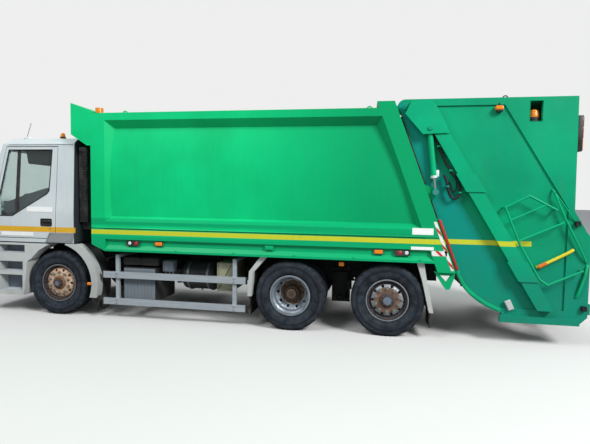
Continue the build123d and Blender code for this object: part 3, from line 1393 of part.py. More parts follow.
with BuildPart() as carriage:
    with BuildSketch(Plane.XZ):
        outline(along(130, -55), along(130, 55), along(700, 55), along(700, -55))
    extrude(amount=CARRIAGE_HALF, both=True)
    for side in (-1, 1):
        cheek_y = sorted((side * CHEEK_Y[0], side * CHEEK_Y[1]))
        with BuildSketch(Plane.XZ.offset(-cheek_y[1])):
            with Locations((PIVOT_X, PIVOT_Z)):
                Circle(105)
            outline(along(0, -85), along(0, 85), along(200, 55), along(200, -55))
        extrude(amount=CHEEK_Y[1] - CHEEK_Y[0])
        with BuildSketch(Plane.XZ.offset(-side * (CHEEK_Y[0] - 120))):
            with Locations((PIVOT_X, PIVOT_Z)):
                Circle(PIN_RADIUS)
        extrude(amount=-side * 130)
        for shoe in (170, 560):
            shoe_y = sorted((side * (CARRIAGE_HALF - 1), side * (TAILGATE_INNER + SHOE_DEPTH)))
            with BuildSketch(Plane.XZ.offset(-shoe_y[1])):
                outline(
                    along(shoe, -SHOE_HALF),
                    along(shoe, SHOE_HALF),
                    along(shoe + SHOE_LENGTH, SHOE_HALF),
                    along(shoe + SHOE_LENGTH, -SHOE_HALF),
                )
            extrude(amount=shoe_y[1] - shoe_y[0])
save(carriage, "carriage")

# Packer blade, hung from the carriage and turned forward at rest
BLADE_HALF = TAILGATE_INNER - 30


def blade_point(reach, rise):
    """Point of the blade at a reach towards its tip, and a rise along the slide."""
    return (
        PIVOT_X + SLIDE_Z * reach - SLIDE_X * rise,
        PIVOT_Z - SLIDE_X * reach - SLIDE_Z * rise,
    )


with BuildPart() as packer_blade:
    with BuildSketch(Plane.XZ):
        with BuildLine():
            Polyline(
                blade_point(0, 80),
                blade_point(250, 40),
            )
            ThreePointArc(blade_point(250, 40), blade_point(560, 0), blade_point(BLADE_LENGTH - 4, 45))
            Polyline(
                blade_point(BLADE_LENGTH - 4, 45),
                blade_point(BLADE_LENGTH - 6, -30),
                blade_point(560, -95),
                blade_point(0, -85),
                blade_point(0, 80),
            )
        make_face()
    extrude(amount=BLADE_HALF, both=True)
    with BuildSketch(Plane.XZ):
        with Locations((PIVOT_X, PIVOT_Z)):
            Circle(BLADE_EYE)
    extrude(amount=CHEEK_Y[0] - 10, both=True)
    for side in (-1, 1):
        with BuildSketch(Plane.XZ.offset(-side * (CHEEK_Y[0] - 10))):
            with Locations((PIVOT_X, PIVOT_Z)):
                Circle(BLADE_EYE + 45)
        extrude(amount=-side * 140, mode=Mode.SUBTRACT)
    with BuildSketch(Plane.XZ):
        with Locations((PIVOT_X, PIVOT_Z)):
            Circle(PIN_RADIUS + SEAT_GAP)
    extrude(amount=TAILGATE_INNER, both=True, mode=Mode.SUBTRACT)
save(packer_blade, "packer_blade")

# Tubular guard rails beside the hopper
TUBE_RADIUS = 15
TUBE_Y = BODY_HALF - 20
GUARD_NODES = {
    # distance behind the joint, height above the frame
    "front": (600, 900),
    "crest": (890, 1060),
    "back": (1230, 880),
    "knee": (800, 410),
    "foot": (1060, -40),
    "low": (1160, -110),
    "heel": (1570, 90),
    "step_front": (780, 459),
    "step_back": (1310, 710),
}
GUARD_SEATS = {
    # y where a peg meets the tailgate's side
    "front": RECESS_Y,
    "back": RECESS_Y,
    "step_back": RECESS_Y,
    "heel": TAILGATE_OUTER,
}
GUARD_RUNS = [
    ["front", "crest", "back"],
    ["front", "knee", "foot", "low", "heel"],
    ["step_front", "step_back"],
]

with BuildPart() as guard_rails:
    for run in GUARD_RUNS:
        places = [(JOINT_X + GUARD_NODES[key][0], -TUBE_Y, up(GUARD_NODES[key][1])) for key in run]
        for start, end in zip(places, places[1:]):
            way = Vector(*end) - Vector(*start)
            with BuildSketch(Plane(origin=start, z_dir=way)):
                Circle(TUBE_RADIUS)
            extrude(amount=way.length)
        with Locations(*places):
            Sphere(TUBE_RADIUS + 1)
    for key, seat_y in GUARD_SEATS.items():
        x, z = JOINT_X + GUARD_NODES[key][0], up(GUARD_NODES[key][1])
        with BuildSketch(Plane.XZ.offset(seat_y)):
            with Locations((x, z)):
                Circle(TUBE_RADIUS - 3)
        extrude(amount=TUBE_Y - seat_y)
    mirror(about=Plane.XZ)
save(guard_rails, "guard_rails")

# Tail lamps on the tailgate's rear panel, and a beacon on a shelf behind each side's window
LAMP_BOX_X = (GATE_BACK + 9.8, GATE_BACK + 70)
LAMP_BOX_Z = (up(1650), up(2110))
SHELF_DEPTH = 95
SHELF_WALL = 15
SIDE_BEACON = (42, 110)

with BuildPart() as tail_lamps:
    for side in (-1, 1):
        box(
            LAMP_BOX_X,
            sorted((side * (TAILGATE_OUTER - 130), side * (TAILGATE_OUTER - 10))),
            LAMP_BOX_Z,
        )
        shelf_top = WINDOW_Z[0] - 5
        box(
            (WINDOW_X[0] + 15, WINDOW_X[1] - 15),
            sorted((side * (TAILGATE_INNER - SHELF_DEPTH), side * TAILGATE_INNER)),
            (shelf_top - SHELF_WALL, shelf_top),
        )
        beacon_y = side * (TAILGATE_INNER - SHELF_DEPTH / 2 - 2)
        with Locations((sum(WINDOW_X) / 2, beacon_y, shelf_top + SIDE_BEACON[1] / 2)):
            Cylinder(*SIDE_BEACON)
save(tail_lamps, "tail_lamps")

# Bin lifter: a comb plate on two arms, hung behind the loading sill
LIFTER_X = HOPPER_BACK + 62
LIFTER_Z = up(300)
LIFTER_HALF = 700
LIFTER_PIN = 25
COMB_TEETH = 9
COMB_TOOTH = 70
COMB_DEPTH = 60

with BuildPart() as bin_lifter:
    comb_back = FRONT_X + OVERALL_LENGTH
    box((comb_back - 60, comb_back - 20), (-LIFTER_HALF, LIFTER_HALF), (up(-360), up(180)))
    with BuildSketch(Plane.XY.offset(up(150))):
        with GridLocations(0, 2 * LIFTER_HALF / COMB_TEETH, 1, COMB_TEETH):
            with Locations((comb_back - COMB_DEPTH / 2, 0)):
                Rectangle(COMB_DEPTH, COMB_TOOTH)
    extrude(amount=90)
    for side in (-1, 1):
        arm_y = sorted((side * (LIFTER_HALF - 40), side * LIFTER_HALF))
        with BuildSketch(Plane.XZ.offset(-arm_y[1])):
            with Locations((LIFTER_X, LIFTER_Z)):
                Circle(45)
            outline(
                (LIFTER_X - 30, LIFTER_Z - 30),
                (comb_back - 60, up(-200)),
                (comb_back - 30, up(-200)),
                (comb_back - 30, up(150)),
                (LIFTER_X + 20, LIFTER_Z + 38),
            )
        extrude(amount=arm_y[1] - arm_y[0])
        with BuildSketch(Plane.XZ.offset(-side * (LIFTER_HALF - 60))):
            with Locations((LIFTER_X, LIFTER_Z)):
                Circle(LIFTER_PIN)
        extrude(amount=-side * 130)
save(bin_lifter, "bin_lifter")

# Ears on the hopper's back that hold the lifter's pins, with the rear crossbeam
with BuildPart() as rear_beam:
    box(
        (HOPPER_BACK, HOPPER_BACK + 30),
        (-TAILGATE_OUTER, TAILGATE_OUTER),
        (up(-500), up(-360)),
    )
    box(
        (trough_point(TROUGH_RADIUS + TROUGH_WALL, TROUGH_END)[0] + 6, HOPPER_BACK + 20),
        (-TAILGATE_INNER, TAILGATE_INNER),
        (up(180), up(235)),
    )
    for side in (-1, 1):
        ear_y = sorted((side * (LIFTER_HALF + 10), side * (LIFTER_HALF + 50)))
        with BuildSketch(Plane.XZ.offset(-ear_y[1])):
            with Locations((LIFTER_X, LIFTER_Z)):
                Circle(50)
            outline(
                (HOPPER_BACK - 25, up(182)),
                (HOPPER_BACK + 20, up(182)),
                (LIFTER_X + 40, LIFTER_Z - 30),
                (LIFTER_X - 50, LIFTER_Z),
            )
        extrude(amount=ear_y[1] - ear_y[0])
        with BuildSketch(Plane.XZ.offset(-side * LIFTER_HALF)):
            with Locations((LIFTER_X, LIFTER_Z)):
                Circle(LIFTER_PIN + SEAT_GAP)
        extrude(amount=-side * 80, mode=Mode.SUBTRACT)
save(rear_beam, "rear_beam")

# Cab
CAB_WALL = 50
CAB_ROOF = up(1890)
BELT_Z = up(690)
TUMBLEHOME = 45
CAB_SIDE_OUTLINE = [
    # x behind the front axle, z above the frame, corner radius
    (-1385, -55, 20),
    (-1130, -55, 10),
    (-1130, 210, 10),
    (345, 210, 20),
    (345, 1850, 60),
    (280, 1890, 120),
    (-820, 1890, 200),
    (-945, 1800, 60),
    (-1345, 640, 60),
    (-1385, 500, 60),
]


def cab_form(inset):
    """The cab's outer form, drawn in by a distance."""
    with BuildPart() as form:
        with BuildSketch(Plane.XZ):
            soft_outline(
                [(behind(x), up(z)) for x, z, _ in CAB_SIDE_OUTLINE],
                [radius for _, _, radius in CAB_SIDE_OUTLINE],
            )
            if inset:
                offset(amount=-inset, kind=Kind.INTERSECTION)
        extrude(amount=CAB_HALF, both=True)
        with BuildSketch(Plane.YZ.offset(FRONT_X - 100)):
            with BuildLine():
                FilletPolyline(
                    (-CAB_HALF, up(-100)),
                    (-CAB_HALF, BELT_Z),
                    (-CAB_HALF + TUMBLEHOME, CAB_ROOF - 90),
                    (-CAB_HALF + 160, CAB_ROOF - 10),
                    (CAB_HALF - 160, CAB_ROOF - 10),
                    (CAB_HALF - TUMBLEHOME, CAB_ROOF - 90),
                    (CAB_HALF, BELT_Z),
                    (CAB_HALF, up(-100)),
                    radius=[0, 300, 60, 60, 60, 60, 300, 0],
                    close=True,
                )
            make_face()
            if inset:
                offset(amount=-inset, kind=Kind.INTERSECTION)
        extrude(amount=CAB_BACK - FRONT_X + 200, mode=Mode.INTERSECT)
    return form.part


cab_outer = cab_form(0)
cab_inner = cab_form(CAB_WALL)
DOOR_GAP = 6
DOOR_POINTS = [
    # x behind the front axle, z above the frame
    (-1090, 275),
    (0, 275),
    (40, 1740),
    (-885, 1740),
    (-1050, 1020),
    (-1090, 920),
]
WINDOW_POINTS = [
    # x behind the front axle, z above the frame
    (-1020, 625),
    (-770, 625),
    (-660, 690),
    (-145, 985),
    (-105, 1035),
    (-55, 1690),
    (-840, 1690),
    (-1000, 990),
    (-1025, 900),
]
DOOR_HINGE_X = behind(-1090)
DOOR_HINGE_Y = CAB_HALF + 15
DOOR_HINGE_Z = (up(370), up(620))
DOOR_HINGE_EYE = 14
DOOR_HINGE_PIN = 6
SCREEN_Z = (up(740), up(1700))
SCREEN_HALF = CAB_HALF - 110
TUNNEL_HALF = 480
TUNNEL_TOP = up(380)


def door_face(points, inset):
    """Door or window outline in the active sketch, drawn in by a distance."""
    outline(*[(behind(x), up(z)) for x, z in points])
    if inset:
        offset(amount=-inset, kind=Kind.INTERSECTION)


with BuildPart() as cab_shell:
    add(cab_outer)
    add(cab_inner, mode=Mode.SUBTRACT)
    box((behind(-1330), behind(320)), (-TUNNEL_HALF, TUNNEL_HALF), (CAB_FLOOR + 10, TUNNEL_TOP))
    box(
        (behind(-1330), behind(400)),
        (-TUNNEL_HALF + 40, TUNNEL_HALF - 40),
        (up(-200), TUNNEL_TOP - 40),
        mode=Mode.SUBTRACT,
    )
    for side in (-1, 1):
        with BuildSketch(Plane.XZ.offset(-side * (CAB_HALF + 10))):
            door_face(DOOR_POINTS, -DOOR_GAP)
        extrude(amount=side * (CAB_WALL + 80), mode=Mode.SUBTRACT)
    with BuildSketch(Plane.YZ.offset(behind(-700))):
        with Locations((0, (SCREEN_Z[0] + SCREEN_Z[1]) / 2)):
            RectangleRounded(2 * SCREEN_HALF, SCREEN_Z[1] - SCREEN_Z[0], 60)
    extrude(amount=-900, mode=Mode.SUBTRACT)
    for side in (-1, 1):
        with BuildSketch(Plane.XZ.offset(-side * (CAB_PIN_END + 3))):
            with Locations((CAB_PIVOT_X, CAB_PIVOT_Z)):
                Circle(CAB_PIVOT_PIN + SEAT_GAP)
        extrude(amount=side * 100, mode=Mode.SUBTRACT)
        box(
            (CAB_FRONT - 10, CAB_FRONT + CAB_WALL + 5),
            sorted((side * (CAB_LUG_Y[0] - 10), side * (CAB_LUG_Y[1] + 10))),
            (up(-70), up(5)),
            mode=Mode.SUBTRACT,
        )
        for hinge_z in DOOR_HINGE_Z:
            for eye_z in (hinge_z - 60, hinge_z + 30):
                with BuildSketch(Plane.XY.offset(eye_z)):
                    with Locations((DOOR_HINGE_X, side * DOOR_HINGE_Y)):
                        Circle(DOOR_HINGE_EYE)
                    with Locations((DOOR_HINGE_X - 25, side * (CAB_HALF + 5))):
                        Rectangle(50, 10)
                extrude(amount=30)
            with BuildSketch(Plane.XY.offset(hinge_z - 40)):
                with Locations((DOOR_HINGE_X, side * DOOR_HINGE_Y)):
                    Circle(DOOR_HINGE_PIN)
            extrude(amount=80)
save(cab_shell, "cab_shell")

with BuildPart() as windscreen:
    add(cab_form(14))
    add(cab_form(22), mode=Mode.SUBTRACT)
    with BuildSketch(Plane.YZ.offset(behind(-700))):
        with Locations((0, (SCREEN_Z[0] + SCREEN_Z[1]) / 2)):
            RectangleRounded(2 * SCREEN_HALF, SCREEN_Z[1] - SCREEN_Z[0], 60)
    extrude(amount=-900, mode=Mode.INTERSECT)
save(windscreen, "windscreen")

pane_outer = cab_form(18)
pane_inner = cab_form(24)

for side, hand in ((-1, "left"), (1, "right")):
    with BuildPart() as door:
        add(cab_outer)
        add(cab_inner, mode=Mode.SUBTRACT)
        with BuildSketch(Plane.XZ.offset(-side * (CAB_HALF + 10))):
            door_face(DOOR_POINTS, DOOR_GAP)
        extrude(amount=side * (CAB_WALL + 80), mode=Mode.INTERSECT)
        with BuildSketch(Plane.XZ.offset(-side * (CAB_HALF + 10))):
            door_face(WINDOW_POINTS, 0)
        extrude(amount=side * (CAB_WALL + 80), mode=Mode.SUBTRACT)
        with BuildSketch(Plane.XZ.offset(-side * (CAB_HALF + 10))):
            with Locations((behind(-160), up(530))):
                RectangleRounded(210, 130, 25)
        extrude(amount=side * 42, mode=Mode.SUBTRACT)
        for hinge_z in DOOR_HINGE_Z:
            with BuildSketch(Plane.XY.offset(hinge_z - 29)):
                with Locations((DOOR_HINGE_X, side * DOOR_HINGE_Y)):
                    Circle(DOOR_HINGE_EYE)
                with Locations((DOOR_HINGE_X + 30, side * (CAB_HALF + 8))):
                    Rectangle(60, 16)
                with Locations((DOOR_HINGE_X, side * DOOR_HINGE_Y)):
                    Circle(DOOR_HINGE_PIN + SEAT_GAP, mode=Mode.SUBTRACT)
            extrude(amount=58)
    save(door, f"door_{hand}")
    with BuildPart() as pane:
        add(pane_outer)
        add(pane_inner, mode=Mode.SUBTRACT)
        with BuildSketch(Plane.XZ.offset(-side * (CAB_HALF + 10))):
            door_face(WINDOW_POINTS, 0)
        extrude(amount=side * (CAB_WALL + 80), mode=Mode.INTERSECT)
    save(pane, f"door_glass_{hand}")

# Seats, dashboard and steering wheel, seen through the glass
SEAT_Y = 680
SEAT_HALF = 240
CAB_FLOOR_TOP = CAB_FLOOR + CAB_WALL

with BuildPart() as seats:
    for side in (-1, 1):
        seat_y = (side * SEAT_Y - SEAT_HALF, side * SEAT_Y + SEAT_HALF)
        base_y = sorted((side * (TUNNEL_HALF + 20), side * (SEAT_Y + 150)))
        box((behind(-360), behind(60)), base_y, (CAB_FLOOR_TOP, up(560)))
        box((behind(-420), behind(120)), seat_y, (up(560), up(690)))
        with BuildSketch(Plane.XZ.offset(-seat_y[1])):
            soft_outline(
                [
                    (behind(60), up(690)),
                    (behind(180), up(690)),
                    (behind(280), up(1500)),
                    (behind(180), up(1500)),
                ],
                [20, 20, 40, 40],
            )
        extrude(amount=2 * SEAT_HALF)
save(seats, "seats")

WHEEL_TILT = 55
WHEEL_CENTRE = (behind(-760), -SEAT_Y, up(850))
COLUMN_LENGTH = 430
rim_plane = Plane(
    origin=WHEEL_CENTRE,
    x_dir=(0, 1, 0),
    z_dir=(-math.cos(math.radians(WHEEL_TILT)), 0, -math.sin(math.radians(WHEEL_TILT))),
)

with BuildPart() as dashboard:
    with BuildSketch(Plane.XZ):
        soft_outline(
            [
                (CAB_FRONT + CAB_WALL + SEAT_GAP, up(385)),
                (behind(-1050), up(385)),
                (behind(-1000), up(640)),
                (behind(-1060), up(700)),
                (behind(-1210), up(700)),
                (CAB_FRONT + CAB_WALL + SEAT_GAP, up(480)),
            ],
            [0, 40, 40, 30, 30, 0],
        )
    extrude(amount=CAB_HALF - 110, both=True)
    with BuildSketch(rim_plane.offset(30)):
        Circle(35)
    extrude(amount=COLUMN_LENGTH)
save(dashboard, "dashboard")

with BuildPart() as steering_wheel:
    with Locations(rim_plane):
        Torus(215, 16)
    with BuildSketch(rim_plane):
        Circle(50)
    extrude(amount=30)
    with BuildSketch(rim_plane.offset(-12)):
        Rectangle(420, 36)
        Rectangle(36, 420)
        Circle(60)
    extrude(amount=20)
save(steering_wheel, "steering_wheel")

# Mirrors on arms at the cab's front corners
MIRROR_X = (behind(-1290), behind(-1170))
MIRROR_Y = (CAB_HALF + 50, CAB_HALF + 250)

with BuildPart() as mirrors:
    box(MIRROR_X, (-MIRROR_Y[1], -MIRROR_Y[0]), (up(1180), up(1620)))
    box(MIRROR_X, (-MIRROR_Y[1], -MIRROR_Y[0]), (up(920), up(1150)))
    fillet(mirrors.edges().filter_by(Axis.Z), 40)
    box((behind(-1250), behind(-1210)), (-MIRROR_Y[0] - 60, -CAB_HALF), (up(545), up(575)))
    box((behind(-1250), behind(-1210)), (-MIRROR_Y[0] - 60, -MIRROR_Y[0] - 30), (up(545), up(1400)))
    mirror(about=Plane.XZ)
save(mirrors, "mirrors")
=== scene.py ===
"""Looks of a three-axle garbage truck: paints, metals, rubber, glass, and the small parts on its frame."""

import math

import bpy
from mathutils import Matrix, Vector


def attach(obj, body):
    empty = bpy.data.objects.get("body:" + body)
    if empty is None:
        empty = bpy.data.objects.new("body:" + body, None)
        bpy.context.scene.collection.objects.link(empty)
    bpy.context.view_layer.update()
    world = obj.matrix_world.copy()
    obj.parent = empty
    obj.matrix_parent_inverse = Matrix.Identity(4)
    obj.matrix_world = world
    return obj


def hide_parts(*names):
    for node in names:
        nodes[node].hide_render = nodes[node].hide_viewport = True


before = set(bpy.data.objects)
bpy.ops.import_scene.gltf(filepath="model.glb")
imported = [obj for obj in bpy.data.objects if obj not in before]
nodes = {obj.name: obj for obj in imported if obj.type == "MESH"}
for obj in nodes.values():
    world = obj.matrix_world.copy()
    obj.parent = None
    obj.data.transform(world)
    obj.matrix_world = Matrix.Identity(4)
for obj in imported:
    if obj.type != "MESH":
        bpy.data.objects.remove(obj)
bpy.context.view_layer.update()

# Heights and lengths, in metres in the truck's own frame: front at -X, left side at -Y
STEER_X = -3.27
DRIVE_X = 0.535
TAG_X = 1.93
JOINT_X = 2.82
WHEEL_Z = 0.515
FRAME_TOP = 0.96
CAB_HALF = 1.21
BODY_HALF = 1.275
GATE_OUTER = 1.165
BEAM_SLOPE = 0.5925


def behind(distance):
    """X of a place this far behind the front axle."""
    return STEER_X + distance


def up(height):
    """Z of a place this far above the top of the frame."""
    return FRAME_TOP + height


# Materials


def linear(code):
    """Linear colour of an sRGB hex code."""
    channels = [int(code[i : i + 2], 16) / 255 for i in (1, 3, 5)]
    flat = [c / 12.92 if c <= 0.04045 else ((c + 0.055) / 1.055) ** 2.4 for c in channels]
    return (*flat, 1.0)


def add(tree, kind, feeds=None, **settings):
    """Adds a node with its settings, and gives its inputs their links or values."""
    made = tree.nodes.new(kind)
    for name, value in settings.items():
        setattr(made, name, value)
    for socket, value in (feeds or {}).items():
        if isinstance(value, bpy.types.NodeSocket):
            tree.links.new(value, made.inputs[socket])
        else:
            made.inputs[socket].default_value = value
    return made


def blank(name, roughness, metallic=0.0, ior=1.5, coat=0.0):
    """New material: its tree, its shader, and the Object coordinates that patterns read."""
    material = bpy.data.materials.new(name)
    material.use_nodes = True
    tree = material.node_tree
    shader = tree.nodes["Principled BSDF"]
    shader.inputs["Roughness"].default_value = roughness
    shader.inputs["Metallic"].default_value = metallic
    shader.inputs["IOR"].default_value = ior
    shader.inputs["Coat Weight"].default_value = coat
    place = add(tree, "ShaderNodeTexCoord").outputs["Object"]
    return material, tree, shader, place


def noise(tree, place, size, stretch=(1, 1, 1), detail=3, shift=0.0):
    """Soft random pattern whose patches are about this many metres across."""
    moved = add(
        tree,
        "ShaderNodeMapping",
        {"Vector": place, "Scale": tuple(s / size for s in stretch), "Location": (shift, shift, shift)},
    )
    made = add(tree, "ShaderNodeTexNoise", {"Vector": moved.outputs[0], "Scale": 1.0, "Detail": detail})
    return made.outputs[0]


def ramp(tree, value, low, high, start=0.0, end=1.0):
    """Value carried from one range to another and held at its ends."""
    made = add(
        tree,
        "ShaderNodeMapRange",
        {"Value": value, "From Min": low, "From Max": high, "To Min": start, "To Max": end},
    )
    return made.outputs[0]


def blended(tree, share, first, second):
    """Colour that goes from the first to the second as the share rises."""
    made = add(tree, "ShaderNodeMix", {0: share, 6: first, 7: second}, data_type="RGBA")
    return made.outputs[2]


def times(tree, first, second):
    made = add(tree, "ShaderNodeMath", {0: first, 1: second}, operation="MULTIPLY")
    return made.outputs[0]


def most(tree, first, second):
    made = add(tree, "ShaderNodeMath", {0: first, 1: second}, operation="MAXIMUM")
    return made.outputs[0]


def band(tree, value, low, high, edge=0.002):
    """1 between two limits and 0 outside them."""
    return times(tree, ramp(tree, value, low - edge, low), ramp(tree, value, high, high + edge, 1.0, 0.0))


def axes(tree, place):
    return add(tree, "ShaderNodeSeparateXYZ", {0: place}).outputs


def rough(tree, shader, height, size, distance, place, detail=4):
    """Small unevenness of a surface."""
    bump = add(
        tree,
        "ShaderNodeBump",
        {"Height": noise(tree, place, size, detail=detail), "Strength": height, "Distance": distance},
    )
    tree.links.new(bump.outputs[0], shader.inputs["Normal"])


def enamel(
    name,
    colour,
    shade,
    roughness=0.35,
    grime_top=1.5,
    grime=0.5,
    streaks=0.25,
    bands=(),
    patches=(),
    dirt="#5F5A4E",
):
    """Two-pack vehicle enamel on sheet steel: smooth, faded to a low sheen, greyer low down and in
    streaks under edges where road dirt and leachate run. Bands are painted stripes, as lowest
    and highest z, nearest y, furthest x and colour. Patches are parts in another paint, tone
    darker low down, or painted shade, as axis, lowest and highest place on it, softness of the
    edge, and colour. Axis 3 runs square to the slanted guide beams, which lie at 4.1 to 4.4 on it."""
    material, tree, shader, place = blank(name, roughness)
    shader.inputs["Specular IOR Level"].default_value = 0.18
    along = list(axes(tree, place))
    lean = times(tree, along[2], BEAM_SLOPE)
    along.append(add(tree, "ShaderNodeMath", {0: along[0], 1: lean}, operation="ADD").outputs[0])
    base = blended(tree, ramp(tree, noise(tree, place, 0.8), 0.35, 0.65), linear(shade), linear(colour))
    for axis, patch_low, patch_high, edge, patch_colour in patches:
        inside = band(tree, along[axis], patch_low, patch_high, edge)
        base = blended(tree, inside, base, linear(patch_colour))
    for z_low, z_high, y_near, x_far, band_colour in bands:
        side = add(tree, "ShaderNodeMath", {0: along[1]}, operation="ABSOLUTE").outputs[0]
        mask = times(tree, band(tree, along[2], z_low, z_high), ramp(tree, side, y_near, y_near + 0.002))
        mask = times(tree, mask, ramp(tree, along[0], x_far, x_far + 0.002, 1.0, 0.0))
        worn = ramp(tree, noise(tree, place, 0.03, detail=5), 0.28, 0.36, 0.55, 1.0)
        base = blended(tree, times(tree, mask, worn), base, linear(band_colour))
    low = ramp(tree, along[2], 0.3, grime_top, 1.0, 0.0)
    film = ramp(tree, noise(tree, place, 0.25, detail=5), 0.3, 0.75)
    runs = ramp(tree, noise(tree, place, 0.05, (1, 1, 0.06), 4, 3.7), 0.5, 0.8)
    soiled = most(tree, times(tree, times(tree, low, film), grime), times(tree, runs, streaks))
    colour_out = blended(tree, soiled, base, linear(dirt))
    tree.links.new(colour_out, shader.inputs["Base Color"])
    tree.links.new(ramp(tree, soiled, 0.0, 0.6, roughness, 0.85), shader.inputs["Roughness"])
    rough(tree, shader, 0.12, 0.02, 0.002, place)
    return material


STRIPE = "#C6CB33"
body_green = enamel(
    "green enamel on body",
    "#02CB7E",
    "#00BC72",
    grime_top=1.4,
    grime=0.25,
    streaks=0.08,
    bands=[(1.345, 1.410, 1.2, 9.0, STRIPE)],
    patches=[
        # painted shadow of the slanted rear post: the side darkens towards its rear end
        (0, 1.6, 9.0, 1.8, "#009C62"),
        (2, -9.0, 1.30, 0.06, "#02A76B"),
        # painted shade dimming the upward-facing bevel above the stripe
        (2, 1.50, 1.575, 0.03, "#01A267"),
        # painted shade in the crease under the sill fold
        (2, 1.425, 1.438, 0.008, "#018A54"),
    ],
    dirt="#2F6148",
)
# this green, darker than the body's, is painted shade on the tailgate, which sits inset from the body side
gate_green = enamel(
    "green enamel on tailgate",
    "#029D6F",
    "#008D65",
    grime_top=1.7,
    grime=0.35,
    streaks=0.14,
    bands=[(1.345, 1.410, 1.13, 3.80, STRIPE)],
    # first patch: painted shade on the recessed side sheet in front of the guide beams
    patches=[(3, -9.0, 3.95, 0.12, "#04897A"), (2, -9.0, 0.8, 0.6, "#028A70")],
    dirt="#35604E",
)
guide_green = enamel(
    "green enamel on guide beams",
    "#02A776",
    "#00976B",
    grime_top=1.7,
    grime=0.3,
    streaks=0.12,
    bands=[(1.345, 1.410, 1.13, 3.80, STRIPE)],
    patches=[(2, -9.0, 0.8, 0.6, "#028D70")],
    dirt="#35604E",
)
rail_green = enamel(
    "green enamel on guard rails", "#03A775", "#029A6B", grime_top=1.6, grime=0.3, dirt="#35604E"
)
edge_green = enamel(
    "green enamel on edges and rams", "#03B278", "#02A46D", grime_top=1.6, grime=0.3, dirt="#35604E"
)
roof_green = enamel("green enamel on roof", "#0AB776", "#08A56A", grime_top=6.0, grime=0.3, streaks=0.1)
cab_white = enamel(
    "white enamel on cab",
    "#CDD5D7",
    "#C2CCCF",
    roughness=0.3,
    grime_top=1.7,
    grime=0.3,
    streaks=0.1,
    bands=[(1.338, 1.42, 1.19, -2.9, "#DBAA2C")],
    # dark patch on the cab's rear wall, beyond x -2.942, is painted shade
    patches=[(0, -2.942, 9.0, 0.004, "#33383D")],
)
frame_black = enamel("chassis paint", "#232527", "#1B1D1F", 0.6, 1.6, 0.35, 0.15, dirt="#504B43")
step_grey = enamel("grey paint on steps", "#C9CDCB", "#BCC1C1", 0.4, 1.3, 0.4, 0.15)
guard_grey = enamel(
    "grey lip on black mudguard",
    "#C3C7C3",
    "#B5BAB8",
    0.5,
    1.2,
    0.4,
    0.2,
    patches=[(1, -1.10, 1.10, 0.004, "#25282C")],
)
box_paint = enamel(
    "paint on side boxes",
    "#A8A88E",
    "#96957C",
    0.5,
    1.2,
    0.4,
    0.2,
    patches=[(0, -3.0, -0.9, 0.002, "#2E3033"), (1, 0.2, 1.3, 0.002, "#55565A")],
)
case_black = enamel("black battery case", "#2B2C2E", "#333436", 0.55, 1.3, 0.5, 0.2)
pale_tank = enamel("translucent grey tank moulding", "#7E8790", "#707A84", 0.6, 1.0, 0.5, 0.2)
tank_paint = enamel(
    "paint on tanks", "#2C3036", "#25282D", 0.45, 1.3, 0.4, 0.15, patches=[(1, 0.2, 1.3, 0.002, "#9DA1A5")]
)
red_paint = enamel("red paint on braces", "#C13A33", "#A8322C", 0.4, 1.6, 0.4, 0.2)
yellow_paint = enamel("yellow paint on grab bar", "#DDD138", "#CDC02E", 0.4, 1.4, 0.3, 0.15)


def moulded(name, colour, shade, roughness, grain=0.0015, dust=0.25):
    """Moulded plastic: an even pebble grain about as wide as given, with pale dust on top."""
    material, tree, shader, place = blank(name, roughness)
    base = blended(tree, ramp(tree, noise(tree, place, 0.3), 0.35, 0.65), linear(shade), linear(colour))
    film = times(tree, ramp(tree, noise(tree, place, 0.12, detail=5), 0.4, 0.8), dust)
    tree.links.new(blended(tree, film, base, linear("#8C857A")), shader.inputs["Base Color"])
    shader.inputs["Specular IOR Level"].default_value = 0.3
    rough(tree, shader, 0.25, grain * 6, 0.001, place, 2)
    return material


black_plastic = moulded("black moulded plastic", "#1E2021", "#27292A", 0.5)
grey_plastic = moulded("dark grey dashboard plastic", "#3B3E41", "#46494C", 0.6, dust=0.1)
panel_grey = moulded("grey moulded arch panel", "#8F9496", "#848A8C", 0.55)
bumper_grey = moulded("grey moulded bumper", "#B9BEBD", "#ABB0B1", 0.5)
blue_grey = moulded("bluish grey step wells", "#7E8B99", "#6C7885", 0.6, dust=0.35)
headliner_black = moulded("black headliner moulding", "#17191B", "#1E2123", 0.75, dust=0.05)
white_nylon = moulded("white nylon fitting", "#E4E7E6", "#D6DAD9", 0.4, dust=0.1)
rubber_seal = moulded("black rubber seal", "#151617", "#1D1E1F", 0.7, dust=0.15)
hose_rubber = moulded("hydraulic hose cover", "#121519", "#1A1E24", 0.55, dust=0.04)
mud_rubber = moulded("mudflap rubber", "#1A1B1C", "#242526", 0.8, dust=0.5)


